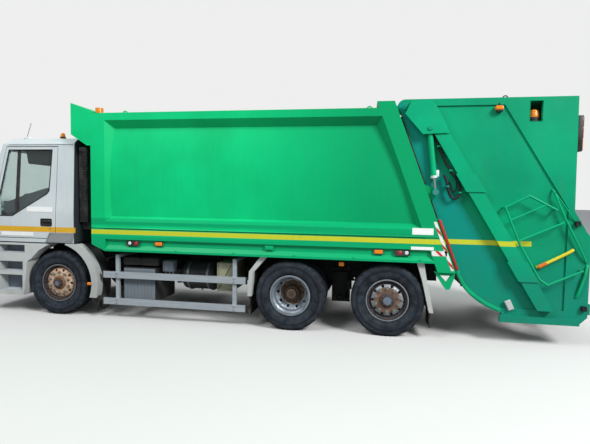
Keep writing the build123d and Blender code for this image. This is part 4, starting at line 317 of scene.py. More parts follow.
def tyre_rubber(name, axle_x):
    """Vulcanised tyre rubber: matt near-black, greyed with road dust in rings on the sidewall."""
    material, tree, shader, place = blank(name, 0.85)
    shader.inputs["Specular IOR Level"].default_value = 0.2
    centred = add(
        tree, "ShaderNodeMapping", {"Vector": place, "Location": (-axle_x, 0.0, -WHEEL_Z)}
    ).outputs[0]
    x_axis, _, z_axis = axes(tree, centred)[:3]
    flat = add(tree, "ShaderNodeCombineXYZ", {0: x_axis, 2: z_axis}).outputs[0]
    radius = add(tree, "ShaderNodeVectorMath", {0: flat}, operation="LENGTH").outputs["Value"]
    dusty = times(
        tree,
        most(tree, band(tree, radius, 0.33, 0.40, 0.03), band(tree, radius, 0.455, 0.53, 0.03)),
        ramp(tree, noise(tree, place, 0.09, detail=5), 0.35, 0.75, 0.05, 0.35),
    )
    scuff = times(tree, ramp(tree, noise(tree, place, 0.02, detail=6, shift=8.0), 0.68, 0.74), 0.3)
    dark = blended(tree, ramp(tree, noise(tree, place, 0.2), 0.4, 0.6), linear("#11161D"), linear("#1B222B"))
    worn = blended(tree, most(tree, dusty, scuff), dark, linear("#5B626A"))
    tree.links.new(worn, shader.inputs["Base Color"])
    rough(tree, shader, 0.3, 0.006, 0.001, place)
    return material


def wheel_steel(name, axle_x, colour, shade, rings, roughness=0.42, metallic=0.6, rust="#6A4630"):
    """Pressed steel wheel: lacquer with rust blooming through it, and rings of brake dust, bare
    hub iron, dark paint, pale edge lines or painted shade in the deep rim barrel, each given as
    inner radius, outer radius and colour."""
    material, tree, shader, place = blank(name, roughness, metallic)
    centred = add(
        tree, "ShaderNodeMapping", {"Vector": place, "Location": (-axle_x, 0.0, -WHEEL_Z)}
    ).outputs[0]
    x_axis, _, z_axis = axes(tree, centred)[:3]
    flat = add(tree, "ShaderNodeCombineXYZ", {0: x_axis, 2: z_axis}).outputs[0]
    radius = add(tree, "ShaderNodeVectorMath", {0: flat}, operation="LENGTH").outputs["Value"]
    base = blended(tree, ramp(tree, noise(tree, place, 0.1), 0.35, 0.65), linear(shade), linear(colour))
    dull = 0.0
    for inner, outer, ring_colour in rings:
        ring = band(tree, radius, inner, outer, 0.004)
        soft = ramp(tree, noise(tree, place, 0.02, detail=5, shift=inner * 50), 0.2, 0.45, 0.6, 1.0)
        ring = times(tree, ring, soft)
        base = blended(tree, ring, base, linear(ring_colour))
        dull = most(tree, dull, ring)
    patchy = times(tree, ramp(tree, noise(tree, place, 0.03, detail=6, shift=2.0), 0.46, 0.66), 0.45)
    base = blended(tree, patchy, base, linear(rust))
    dull = most(tree, dull, patchy)
    tree.links.new(base, shader.inputs["Base Color"])
    tree.links.new(ramp(tree, dull, 0.0, 0.8, metallic, 0.05), shader.inputs["Metallic"])
    tree.links.new(ramp(tree, dull, 0.0, 1.0, roughness, 0.8), shader.inputs["Roughness"])
    rough(tree, shader, 0.2, 0.008, 0.001, place)
    return material


def metal(
    name, colour, shade, roughness, grain=(1, 1, 1), size=0.02, rust=0.0, rust_colour="#6B4328", shine=1.0
):
    """Bare or plated metal: drawn or brushed along the long side of its grain, dull in patches; a
    shine under 1 is metal under a dull white film of oxide."""
    material, tree, shader, place = blank(name, roughness, shine)
    lines = noise(tree, place, size, grain, 3)
    base = blended(tree, ramp(tree, lines, 0.3, 0.7), linear(shade), linear(colour))
    stain = times(tree, ramp(tree, noise(tree, place, 0.15, detail=6, shift=5.0), 0.45, 0.65), rust)
    tree.links.new(blended(tree, stain, base, linear(rust_colour)), shader.inputs["Base Color"])
    tree.links.new(ramp(tree, stain, 0.0, 1.0, shine, 0.0), shader.inputs["Metallic"])
    tree.links.new(
        ramp(tree, most(tree, stain, times(tree, lines, 0.3)), 0.0, 1.0, roughness, 0.9),
        shader.inputs["Roughness"],
    )
    rough(tree, shader, 0.1, size, 0.001, place)
    return material


steel = metal("worn bare steel", "#A9ABAC", "#8C8E90", 0.4, rust=0.75)
rod_chrome = metal("hard chrome ram rod", "#D5D7D8", "#C3C5C6", 0.15, size=0.004)
rail_aluminium = metal(
    "extruded aluminium rail", "#B4BEC4", "#A2ACB3", 0.45, (0.02, 1, 1), 0.01, 0.15, "#77736B", shine=0.35
)
tank_steel = metal("painted steel tank", "#8D9194", "#7B7F82", 0.45, rust=0.4, rust_colour="#5D4A3A")
zinc = metal("zinc plated fastener", "#B7B8B5", "#9C9D9A", 0.35, rust=0.3)
mirror_silver = metal("silvered mirror", "#E4E8EA", "#DCE0E2", 0.03, size=0.5)
dirty_steel = metal("dirty loading steel", "#7E7A73", "#66625C", 0.5, rust=0.85)


def lens(name, colour, shade, glow=0.0, clear=0.0, roughness=0.12):
    """Moulded acrylic lamp lens: clear skin over ribs about 6 mm apart."""
    material, tree, shader, place = blank(name, roughness, ior=1.49, coat=0.6)
    ribs = add(
        tree,
        "ShaderNodeTexWave",
        {"Vector": place, "Scale": 26.0, "Distortion": 0.0},
        bands_direction="Z",
    ).outputs[1]
    tree.links.new(blended(tree, ribs, linear(shade), linear(colour)), shader.inputs["Base Color"])
    shader.inputs["Transmission Weight"].default_value = clear
    shader.inputs["Emission Color"].default_value = linear(colour)
    shader.inputs["Emission Strength"].default_value = glow
    bump = add(tree, "ShaderNodeBump", {"Height": ribs, "Strength": 0.4, "Distance": 0.002})
    tree.links.new(bump.outputs[0], shader.inputs["Normal"])
    return material


amber_lens = lens("amber lamp lens", "#F08A12", "#C46708", glow=0.15)
red_lens = lens("red lamp lens", "#C3211D", "#8C1412", glow=0.08)
clear_lens = lens("clear lamp lens", "#E6EBED", "#C9D0D4")
reflector_red = lens("red reflector", "#B21A1A", "#7E1010", roughness=0.25)


def glazing(name, tint, roughness=0.0):
    """Toughened glass pane, lightly tinted; lamps shine through it."""
    material, tree, shader, place = blank(name, roughness, ior=1.45)
    shader.inputs["Base Color"].default_value = linear(tint)
    shader.inputs["Transmission Weight"].default_value = 1.0
    output = tree.nodes["Material Output"]
    shadow = add(tree, "ShaderNodeLightPath").outputs["Is Shadow Ray"]
    open_air = add(tree, "ShaderNodeBsdfTransparent", {"Color": linear(tint)}).outputs[0]
    both = add(tree, "ShaderNodeMixShader", {0: shadow, 1: shader.outputs[0], 2: open_air})
    tree.links.new(both.outputs[0], output.inputs["Surface"])
    film = ramp(tree, noise(tree, place, 0.3, detail=4), 0.35, 0.75, 0.0, 0.12)
    tree.links.new(film, shader.inputs["Roughness"])
    return material


glass = glazing("tinted safety glass", "#DDE8E6")


def cloth(name, colour, shade):
    """Woven seat cloth: a fine rib about 3 mm apart, drawn at 6 mm so that it shows."""
    material, tree, shader, place = blank(name, 0.9)
    weave = add(
        tree,
        "ShaderNodeTexWave",
        {"Vector": place, "Scale": 52.0, "Distortion": 0.6},
        bands_direction="Y",
    ).outputs[1]
    tree.links.new(blended(tree, weave, linear(shade), linear(colour)), shader.inputs["Base Color"])
    shader.inputs["Sheen Weight"].default_value = 0.25
    bump = add(tree, "ShaderNodeBump", {"Height": weave, "Strength": 0.3, "Distance": 0.001})
    tree.links.new(bump.outputs[0], shader.inputs["Normal"])
    return material


seat_cloth = cloth("woven seat cloth", "#3D434C", "#2A2E35")


def hazard(name):
    """Retroreflective hazard tape: red and white diagonal blocks 140 mm apart, the red part narrow."""
    material, tree, shader, place = blank(name, 0.35)
    along = axes(tree, place)
    tilted = add(tree, "ShaderNodeMath", {0: along[2], 1: along[0]}, operation="ADD").outputs[0]
    tilted = add(tree, "ShaderNodeMath", {0: tilted, 1: along[1]}, operation="ADD").outputs[0]
    scaled = times(tree, tilted, 1 / 0.14)
    phase = add(tree, "ShaderNodeMath", {0: scaled}, operation="FRACT").outputs[0]
    split = ramp(tree, phase, 0.30, 0.34)
    colour = blended(tree, split, linear("#C8231F"), linear("#E9EAE8"))
    film = times(tree, ramp(tree, noise(tree, place, 0.04, detail=5), 0.45, 0.7), 0.35)
    tree.links.new(blended(tree, film, colour, linear("#7C766A")), shader.inputs["Base Color"])
    rough(tree, shader, 0.15, 0.004, 0.0005, place)
    return material


hazard_tape = hazard("red and white hazard tape")


def sticker(name, colour, shade):
    """Vinyl film: flat, slightly glossy, scuffed at random."""
    material, tree, shader, place = blank(name, 0.3)
    scuffs = ramp(tree, noise(tree, place, 0.05, detail=4), 0.4, 0.7)
    base = blended(tree, scuffs, linear(shade), linear(colour))
    tree.links.new(base, shader.inputs["Base Color"])
    rough(tree, shader, 0.08, 0.01, 0.0005, place)
    return material


white_film = sticker("white vinyl film", "#F6F7F6", "#EDEFED")
orange_film = sticker("orange tape on grab bar", "#E0782A", "#CF6A22")

front_tyre = tyre_rubber("tyre rubber on front axle", STEER_X)
drive_tyre = tyre_rubber("tyre rubber on drive axle", DRIVE_X)
tag_tyre = tyre_rubber("tyre rubber on tag axle", TAG_X)
front_rim = wheel_steel(
    "cream wheel steel",
    STEER_X,
    "#DBC0A4",
    "#C49C7C",
    [
        (0.284, 0.320, "#6E7377"),
        # painted shade in the deep rim barrel
        (0.243, 0.284, "#26262A"),
        (0.0, 0.088, "#2E2B2B"),
        (0.0, 0.036, "#5F7184"),
        (0.088, 0.11, "#7B5B42"),
    ],
    metallic=0.15,
)
drive_rim = wheel_steel(
    "silver wheel steel on drive axle",
    DRIVE_X,
    "#A3B0BA",
    "#8796A3",
    [(0.180, 0.192, "#C2BBAD"), (0.0, 0.180, "#594A3D"), (0.0, 0.045, "#3A322D")],
)
tag_rim = wheel_steel(
    "silver wheel steel on tag axle",
    TAG_X,
    "#A9B2B8",
    "#8C969E",
    # the last ring is painted shade in the deep rim barrel
    [(0.0, 0.185, "#705645"), (0.0, 0.105, "#3D3B3D"), (0.0, 0.055, "#64778A"), (0.225, 0.284, "#2C2F35")],
)
rusty_nut = metal("rusted wheel nut", "#9A8571", "#77614D", 0.55, rust=0.6)

finishes = {
    "chassis_frame": frame_black,
    "engine_block": frame_black,
    "front_axle": frame_black,
    "drive_axle": frame_black,
    "prop_shaft": frame_black,
    "tag_axle": frame_black,
    "leaf_springs": frame_black,
    "front_bumper": bumper_grey,
    "headlamps": clear_lens,
    "entry_steps": step_grey,
    "mudguards": guard_grey,
    "side_guards": rail_aluminium,
    "tanks": tank_paint,
    "side_boxes": box_paint,
    "air_intake": black_plastic,
    "subframe": frame_black,
    "body_floor": body_green,
    "body_roof": roof_green,
    "body_sides": body_green,
    "body_front": body_green,
    "body_visor": body_green,
    "body_rear_frame": body_green,
    "marker_lamps": amber_lens,
    "cab_shell": cab_white,
    "windscreen": glass,
    "dashboard": grey_plastic,
    "seats": seat_cloth,
    "steering_wheel": black_plastic,
    "mirrors": black_plastic,
    "door_left": cab_white,
    "door_right": cab_white,
    "door_glass_left": glass,
    "door_glass_right": glass,
    "ejector_plate": dirty_steel,
    "tailgate_sides": gate_green,
    "tailgate_cover": gate_green,
    "hopper": dirty_steel,
    "rear_beam": gate_green,
    "guide_beams": guide_green,
    "guard_rails": rail_green,
    "tail_lamps": black_plastic,
    "lift_barrels": edge_green,
    "lift_rods": rod_chrome,
    "carriage": gate_green,
    "packer_blade": dirty_steel,
    "bin_lifter": gate_green,
}
wheel_finishes = {
    "front": (front_tyre, front_rim),
    "drive": (drive_tyre, drive_rim),
    "tag": (tag_tyre, tag_rim),
}
for name, node in nodes.items():
    choice = finishes.get(name, frame_black)
    for axle, (tyre_finish, rim_finish) in wheel_finishes.items():
        if name.startswith(("tyre", "rim")) and axle in name:
            choice = tyre_finish if name.startswith("tyre") else rim_finish
    node.data.materials.clear()
    node.data.materials.append(choice)

# Hand tools: each starts from the active object or a piece and leaves a mesh placed in the truck's frame


def settle(name):
    """Names the new primitive and puts its place into its mesh."""
    piece = bpy.context.object
    piece.name = piece.data.name = name
    bpy.ops.object.transform_apply(location=True, rotation=True, scale=True)
    return piece


def block(name, low, high):
    """Starts a piece from a cube between two corners."""
    bpy.ops.object.select_all(action="DESELECT")
    middle = [(a + b) / 2 for a, b in zip(low, high)]
    size = [b - a for a, b in zip(low, high)]
    bpy.ops.mesh.primitive_cube_add(size=1, location=middle, scale=size)
    return settle(name)


def rod(name, start, end, radius, sides=24):
    """Starts a piece from a cylinder between two points."""
    bpy.ops.object.select_all(action="DESELECT")
    start, end = Vector(start), Vector(end)
    turn = (end - start).to_track_quat("Z", "Y").to_euler()
    bpy.ops.mesh.primitive_cylinder_add(
        vertices=sides, radius=radius, depth=(end - start).length, location=(start + end) / 2, rotation=turn
    )
    return settle(name)


def choose(piece):
    """Makes a piece the active one and the only one selected."""
    bpy.ops.object.select_all(action="DESELECT")
    piece.select_set(True)
    bpy.context.view_layer.objects.active = piece


def pick(piece, test, kind="FACE"):
    """Selects in edit mode the faces, edges or corners whose middle and direction pass the test."""
    choose(piece)
    bpy.ops.object.mode_set(mode="EDIT")
    bpy.ops.mesh.select_mode(type=kind)
    bpy.ops.mesh.select_all(action="DESELECT")
    bpy.ops.object.mode_set(mode="OBJECT")
    mesh = piece.data
    if kind == "FACE":
        for face in mesh.polygons:
            face.select = test(face.center, face.normal)
    elif kind == "EDGE":
        for edge in mesh.edges:
            first, second = (mesh.vertices[i].co for i in edge.vertices)
            edge.select = test((first + second) / 2, (second - first).normalized())
    else:
        for corner in mesh.vertices:
            corner.select = test(corner.co, corner.normal)
    bpy.ops.object.mode_set(mode="EDIT")


def inset(piece, test, width, depth=0.0, individual=False):
    """Insets chosen faces, and sinks or raises them."""
    pick(piece, test)
    bpy.ops.mesh.inset(thickness=width, depth=depth, use_individual=individual)
    bpy.ops.object.mode_set(mode="OBJECT")


def divide(piece, test, cuts):
    """Divides chosen faces into a grid."""
    pick(piece, test)
    bpy.ops.mesh.subdivide(number_cuts=cuts)
    bpy.ops.object.mode_set(mode="OBJECT")


def saw(piece, place, way):
    """Cuts all faces along a plane and keeps both halves."""
    pick(piece, lambda middle, normal: True)
    bpy.ops.mesh.bisect(plane_co=place, plane_no=way)
    bpy.ops.object.mode_set(mode="OBJECT")


def draw_out(piece, test, move):
    """Extrudes chosen faces by a move."""
    pick(piece, test)
    bpy.ops.mesh.extrude_region_move(TRANSFORM_OT_translate={"value": move})
    bpy.ops.object.mode_set(mode="OBJECT")


def shift(piece, test, move, kind="VERT"):
    """Moves chosen corners."""
    pick(piece, test, kind)
    bpy.ops.transform.translate(value=move)
    bpy.ops.object.mode_set(mode="OBJECT")


def bevel(piece, width, segments=2, test=None):
    """Rounds all edges, or the chosen ones."""
    pick(piece, test or (lambda middle, way: True), "EDGE")
    bpy.ops.mesh.bevel(offset=width, segments=segments, affect="EDGES", clamp_overlap=True)
    bpy.ops.object.mode_set(mode="OBJECT")


def turned(name, profile, centre, axis, steps=48):
    """Starts a piece from one corner, draws it along a profile of (distance along, radius), and spins it."""
    centre, axis = Vector(centre), Vector(axis).normalized()
    outward = axis.orthogonal().normalized()
    bpy.ops.object.select_all(action="DESELECT")
    points = [centre + axis * a + outward * r for a, r in profile]
    bpy.ops.mesh.primitive_plane_add(size=0.001, location=points[0])
    piece = settle(name)
    bpy.ops.object.mode_set(mode="EDIT")
    bpy.ops.mesh.select_mode(type="VERT")
    bpy.ops.mesh.select_all(action="SELECT")
    bpy.ops.mesh.merge(type="CENTER")
    for before, after in zip(points, points[1:]):
        bpy.ops.mesh.extrude_region_move(TRANSFORM_OT_translate={"value": after - before})
    bpy.ops.mesh.select_all(action="SELECT")
    bpy.ops.mesh.spin(steps=steps, angle=2 * math.pi, center=centre, axis=axis)
    bpy.ops.mesh.select_all(action="SELECT")
    bpy.ops.mesh.remove_doubles(threshold=0.0001)
    bpy.ops.mesh.normals_make_consistent(inside=False)
    bpy.ops.object.mode_set(mode="OBJECT")
    return piece


def curve(name, points, kind):
    """Curve with one line through points."""
    data = bpy.data.curves.new(name, "CURVE")
    data.dimensions = "3D"
    line = data.splines.new(kind)
    line.points.add(len(points) - 1)
    for corner, point in zip(line.points, points):
        corner.co = (*point, 1.0)
    return data, line


def curve_made_mesh(name, data):
    """Piece from a curve."""
    piece = bpy.data.objects.new(name, data)
    bpy.context.scene.collection.objects.link(piece)
    choose(piece)
    bpy.ops.object.convert(target="MESH")
    piece = bpy.context.object
    piece.name = piece.data.name = name
    return piece


def pipe(name, points, radius, soft=True, sides=3):
    """Pipe, hose or bar bent through points, drawn as a curve and then made a mesh."""
    data, line = curve(name, points, "NURBS" if soft else "POLY")
    data.bevel_depth = radius
    data.bevel_resolution = sides
    data.use_fill_caps = True
    if soft:
        line.order_u = 3
        line.use_endpoint_u = True
        line.resolution_u = 8
    return curve_made_mesh(name, data)


def joined(name, parts):
    """One piece from several."""
    bpy.ops.object.select_all(action="DESELECT")
    for part in parts:
        part.select_set(True)
    bpy.context.view_layer.objects.active = parts[0]
    bpy.ops.object.join()
    piece = bpy.context.object
    piece.name = piece.data.name = name
    return piece


def again(piece, name, move):
    """Copy of a piece with its own mesh, moved."""
    made = piece.copy()
    made.data = piece.data.copy()
    made.name = made.data.name = name
    bpy.context.scene.collection.objects.link(made)
    made.data.transform(Matrix.Translation(move))
    return made


def turned_copy(piece, name, angle, centre, axis):
    """Copy of a piece with its own mesh, turned about an axis."""
    made = again(piece, name, (0, 0, 0))
    to_centre = Matrix.Translation(Vector(centre))
    made.data.transform(to_centre @ Matrix.Rotation(angle, 4, Vector(axis)) @ to_centre.inverted())
    return made


def other_side(piece, name):
    """Mirror image of a piece on the truck's other side."""
    made = again(piece, name, (0, 0, 0))
    made.data.transform(Matrix.Diagonal((1, -1, 1, 1)))
    made.data.flip_normals()
    return made


def finished(piece, body, material, angle=32):
    """Gives a piece its finish, shading and body."""
    piece.data.materials.clear()
    piece.data.materials.append(material)
    choose(piece)
    bpy.ops.object.shade_smooth_by_angle(angle=math.radians(angle))
    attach(piece, body)
    return piece


def on_both(piece, body, material, far_body=None, angle=32):
    """Finishes a piece of the near side and its mirror image on the far side."""
    name = piece.name
    far = other_side(piece, name + "_right")
    piece.name = piece.data.name = name + "_left"
    finished(far, far_body or body, material, angle)
    return finished(piece, body, material, angle)


def facing(x=0, y=0, z=0):
    """Test for faces that look along a direction."""
    way = Vector((x, y, z)).normalized()
    return lambda middle, normal: normal.dot(way) > 0.9


# Tyres: three ribs and grooves round the tread, lugs on the shoulders, rings on the sidewall

TYRE_PROFILE = [
    # distance from the tyre's middle, radius
    (-0.109, 0.2880),
    (-0.109, 0.3010),
    (-0.128, 0.3200),
    (-0.140, 0.3600),
    (-0.1475, 0.3900),
    (-0.1465, 0.4020),
    (-0.1490, 0.4060),
    (-0.1480, 0.4400),
    (-0.1430, 0.4700),
    (-0.1380, 0.4900),
    (-0.1180, 0.5100),
    (-0.0900, 0.5130),
    (-0.0860, 0.5020),
    (-0.0800, 0.5020),
    (-0.0760, 0.5135),
    (-0.0330, 0.5145),
    (-0.0290, 0.5020),
    (-0.0230, 0.5020),
    (-0.0190, 0.5150),
]
TREAD_STEPS = 96


def tyre(name, axle_x, middle_y, body, material):
    """Radial truck tyre of size 315/80, in place of the plain CAD ring."""
    profile = TYRE_PROFILE + [(-a, r) for a, r in reversed(TYRE_PROFILE)]
    made = turned(name, profile, (axle_x, middle_y, WHEEL_Z), (0, 1, 0), TREAD_STEPS)

    def shoulder_slot(middle, normal):
        across = abs(middle.y - middle_y)
        radius = math.hypot(middle.z - WHEEL_Z, middle.x - axle_x)
        turn = math.atan2(middle.z - WHEEL_Z, middle.x - axle_x) / (2 * math.pi) * TREAD_STEPS
        return 0.115 < across < 0.135 and radius > 0.49 and math.floor(turn) % 3 == 0

    inset(made, shoulder_slot, 0.0015, -0.009, individual=True)
    return finished(made, body, material, 40)


# Wheels: y of the tyre's middle, distance outboard from it to the face that carries the nuts
WHEELS = [
    ("front", STEER_X, 1.025, 0.106, "wheel", front_tyre),
    ("tag", TAG_X, 1.055, 0.106, "wheel", tag_tyre),
    ("drive", DRIVE_X, 1.075, -0.150, "wheels", drive_tyre),
]
NUT_CIRCLE = 0.1675
NUT_COUNT = 10
TWIN_INNER_Y = 0.730


def wheel_nut(name, middle, side):
    """Flanged hexagon nut with the stud's end showing."""
    x, y, z = middle
    nut = rod(name, (x, y, z), (x, y + side * 0.022, z), 0.0185, 6)
    inset(nut, facing(y=side), 0.006, 0.0)

    def stud_end(middle, normal):
        return normal.y * side > 0.9 and (middle - Vector((x, middle.y, z))).length < 0.004

    draw_out(nut, stud_end, (0, side * 0.012, 0))
    washer = rod(name + "_washer", (x, y, z), (x, y + side * 0.006, z), 0.026, 16)
    return joined(name, [nut, washer])


for axle, axle_x, tyre_y, face, ending, tyre_finish in WHEELS:
    for hand, side in (("left", -1), ("right", 1)):
        body = f"{axle}_{hand}_{ending}"
        outer = tyre(f"{axle}_{hand}_tyre", axle_x, side * tyre_y, body, tyre_finish)
        if axle == "drive":
            tyre(f"drive_{hand}_inner_tyre", axle_x, side * TWIN_INNER_Y, body, tyre_finish)
            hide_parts(f"tyres_drive_{hand}")
        else:
            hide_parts(f"tyre_{axle}_{hand}")
        face_y = side * (tyre_y + face)
        centre = (axle_x, face_y, WHEEL_Z)
        first = wheel_nut("nut", (axle_x, face_y, WHEEL_Z + NUT_CIRCLE), side)
        ring = [first] + [
            turned_copy(first, f"nut_{k}", 2 * math.pi * k / NUT_COUNT, centre, (0, 1, 0))
            for k in range(1, NUT_COUNT)
        ]
        nuts = joined(f"{axle}_{hand}_wheel_nuts", ring)
        finished(nuts, body, zinc if axle != "drive" else rusty_nut)
        hub_y = side * (tyre_y + (0.133 if axle != "drive" else -0.066))
        hub_radius = 0.081 if axle != "drive" else 0.088
        bolt_z = WHEEL_Z + hub_radius
        bolt = rod("hub_bolt", (axle_x, hub_y, bolt_z), (axle_x, hub_y + side * 0.012, bolt_z), 0.009, 6)
        bevel(bolt, 0.0015, 1)
        bolts = [bolt] + [
            turned_copy(bolt, f"hub_bolt_{k}", 2 * math.pi * k / 8, (axle_x, hub_y, WHEEL_Z), (0, 1, 0))
            for k in range(1, 8)
        ]
        finished(joined(f"{axle}_{hand}_hub_bolts", bolts), body, rusty_nut)
        valve_y = side * (tyre_y + (0.06 if axle != "drive" else -0.07))
        valve = pipe(
            f"{axle}_{hand}_valve",
            [
                (axle_x + 0.215, valve_y, WHEEL_Z - 0.10),
                (axle_x + 0.205, valve_y + side * 0.03, WHEEL_Z - 0.095),
                (axle_x + 0.195, valve_y + side * 0.055, WHEEL_Z - 0.09),
            ],
            0.005,
        )
        finished(valve, body, zinc)

# Steps under the doors: ribbed treads, wells in grey moulding, and the amber lamp on the arch

STEP_TREADS = [
    # lowest z of the well, front and rear x behind the front axle
    (0.03, -1.01, -0.54),
    (-0.27, -1.01, -0.58),
    (-0.58, -1.01, -0.59),
]
for count, (low, x_low, x_high) in enumerate(STEP_TREADS):
    tread = block(
        f"step_tread_{count}",
        (behind(x_low) + 0.01, -CAB_HALF - 0.015, up(low)),
        (behind(x_high) - 0.01, -CAB_HALF + 0.16, up(low) + 0.010),
    )
    divide(tread, facing(z=1), 6)
    inset(tread, facing(z=1), 0.006, -0.006, individual=True)
    on_both(tread, "chassis", rail_aluminium)
    lining = block(
        f"step_lining_{count}",
        (behind(x_low) + 0.002, -CAB_HALF + 0.155, up(low) + 0.002),
        (behind(x_high) - 0.002, -CAB_HALF + 0.169, up(low) + (0.128, 0.158, 0.248)[count]),
    )
    inset(lining, facing(y=-1), 0.02, -0.004)
    on_both(lining, "chassis", blue_grey)

arch_lamp = block("arch_lamp", (-2.687, -1.262, 0.528), (-2.632, -1.234, 0.572))
bevel(arch_lamp, 0.008, 2)
on_both(arch_lamp, "chassis", amber_lens)

front_flap = block("front_mudflap", (-2.56, -1.20, 0.10), (-2.548, -0.90, 0.36))
divide(front_flap, facing(x=1), 3)
inset(front_flap, facing(x=1), 0.012, 0.004, individual=True)
on_both(front_flap, "chassis", mud_rubber)

FLAPS = [
    # corners, and 1 where the moulded face looks back
    ("rear_mudflap", (2.512, -1.19, 0.16), (2.524, -0.80, 0.385), 1),
    ("drive_mudflap", (-0.083, -1.19, 0.18), (-0.071, -0.62, 0.49), -1),
]
for name, low, high, way in FLAPS:
    flap = block(name, low, high)
    inset(flap, facing(x=way), 0.02, 0.004)
    on_both(flap, "chassis", mud_rubber)

# Cab doors: seal round the window, quarter light pillar, inner trim, handle, blank stickers


def cab_side(z, out=0.0):
    """Y of the cab's near side at a height, with its lean inward above the belt line."""
    belt, top, lean = 1.65, 2.76, 0.045
    inward = max(0.0, (z - belt) / (top - belt)) * lean
    return -(CAB_HALF - inward + out)


WINDOW = [
    (-1.02, 0.625),
    (-0.77, 0.625),
    (-0.66, 0.69),
    (-0.145, 0.985),
    (-0.105, 1.035),
    (-0.055, 1.69),
    (-0.84, 1.69),
    (-1.0, 0.99),
    (-1.025, 0.90),
]


def window_ring(shrink, out):
    """Corners of the door window drawn in towards its middle by a distance."""
    middle = Vector((-0.55, 1.2))
    ring = []
    for x, z in WINDOW:
        spot = Vector((x, z))
        spot += (middle - spot).normalized() * shrink
        ring.append((behind(spot.x), cab_side(up(spot.y), out), up(spot.y)))
    return ring + ring[:1]


def plate_between(name, ring, thickness, way=(0, 1, 0)):
    """Flat plate with the given corners, drawn as a filled curve, made a mesh and given its thickness."""
    data, line = curve(name, ring, "POLY")
    line.use_cyclic_u = True
    piece = curve_made_mesh(name, data)
    bpy.ops.object.mode_set(mode="EDIT")
    bpy.ops.mesh.select_all(action="SELECT")
    bpy.ops.mesh.edge_face_add()
    bpy.ops.mesh.extrude_region_move(TRANSFORM_OT_translate={"value": [w * thickness for w in way]})
    bpy.ops.mesh.select_all(action="SELECT")
    bpy.ops.mesh.normals_make_consistent(inside=False)
    bpy.ops.object.mode_set(mode="OBJECT")
    return piece


def wall_plate(name, wall_y, corners, thickness):
    """Flat plate on a side wall, from its corners as (x, z)."""
    return plate_between(name, [(x, wall_y, z) for x, z in corners], thickness)


def rectangle(x_low, x_high, z_low, z_high):
    """Corners of an upright rectangle as (x, z)."""
    return [(x_low, z_low), (x_high, z_low), (x_high, z_high), (x_low, z_high)]


seal = pipe("window_seal", window_ring(0.004, -0.004), 0.011, soft=False)
on_both(seal, "left_door", rubber_seal, "right_door")

pillar_ring = [
    (behind(-0.690), cab_side(2.65, -0.012), 2.655),
    (behind(-0.635), cab_side(2.65, -0.012), 2.655),
    (behind(-0.665), cab_side(1.66, -0.012), 1.66),
    (behind(-0.735), cab_side(1.60, -0.012), 1.60),
]
pillar = plate_between("quarter_light_pillar", pillar_ring, 0.012)
on_both(pillar, "left_door", black_plastic, "right_door")

trim_ring = [
    (behind(-0.13), -1.115, 2.06),
    (behind(-0.30), -1.115, 2.02),
    (behind(-0.66), -1.115, 1.91),
    (behind(-1.00), -1.115, 1.79),
    (behind(-1.02), -1.115, 1.59),
    (behind(-0.77), -1.115, 1.585),
    (behind(-0.66), -1.115, 1.65),
    (behind(-0.14), -1.115, 1.94),
]
trim = plate_between("door_trim_top", trim_ring, 0.03)
on_both(trim, "left_door", grey_plastic, "right_door")

trim_low = block("door_trim", (behind(-1.04), -1.155, 1.27), (behind(-0.03), -1.12, 1.60))
inset(trim_low, facing(y=1), 0.05, 0.02)
inset(trim_low, facing(y=1), 0.06, -0.012)
on_both(trim_low, "left_door", grey_plastic, "right_door")

bowl = block("door_handle_bowl", (-3.533, -1.2105, 1.427), (-3.327, -1.172, 1.553))
bevel(bowl, 0.018, 3, lambda middle, way: abs(way.y) > 0.9)
inset(bowl, facing(y=-1), 0.012, 0.0)
inset(bowl, facing(y=-1), 0.008, -0.026)
on_both(bowl, "left_door", black_plastic, "right_door")
lever = block("door_handle_lever", (-3.515, -1.2105, 1.497), (-3.345, -1.192, 1.535))
bevel(lever, 0.006, 2)
on_both(lever, "left_door", black_plastic, "right_door")
lock_barrel = rod("door_lock", (-3.36, -1.2145, 1.39), (-3.36, -1.205, 1.39), 0.012, 20)
inset(lock_barrel, facing(y=-1), 0.005, -0.003)
on_both(lock_barrel, "left_door", zinc, "right_door")

DOOR_FILMS = [
    # front and rear x behind the front axle, lowest z, highest z
    ("door_sticker", (-0.98, -0.39, 1.268, 1.33)),
    ("window_sticker", (-0.50, -0.04, 1.660, 1.74)),
]
for name, edges in DOOR_FILMS:
    ring = [(behind(x), cab_side(z, 0.0030), z) for x, z in rectangle(*edges)]
    on_both(plate_between(name, ring, -0.001), "left_door", white_film, "right_door")

# Cab front: grille, lamps, wipers, blank plate, grab bars, seals

grille = block("grille_panel", (-4.668, -0.86, 1.02), (-4.652, 0.86, 1.43))
bevel(grille, 0.03, 3, lambda middle, way: abs(way.x) > 0.9)
inset(grille, facing(x=-1), 0.02, 0.0)
inset(grille, facing(x=-1), 0.004, -0.010)
finished(grille, "cab", black_plastic)
slats = []
for count in range(5):
    low = 1.055 + 0.075 * count
    slat = block(f"slat_{count}", (-4.676, -0.83, low), (-4.658, 0.83, low + 0.03))
    shift(slat, lambda corner, way: corner.z > low + 0.02 and corner.x < -4.67, (0.008, 0, 0))
    bevel(slat, 0.004, 2)
    slats.append(slat)
finished(joined("grille_slats", slats), "cab", cab_white)

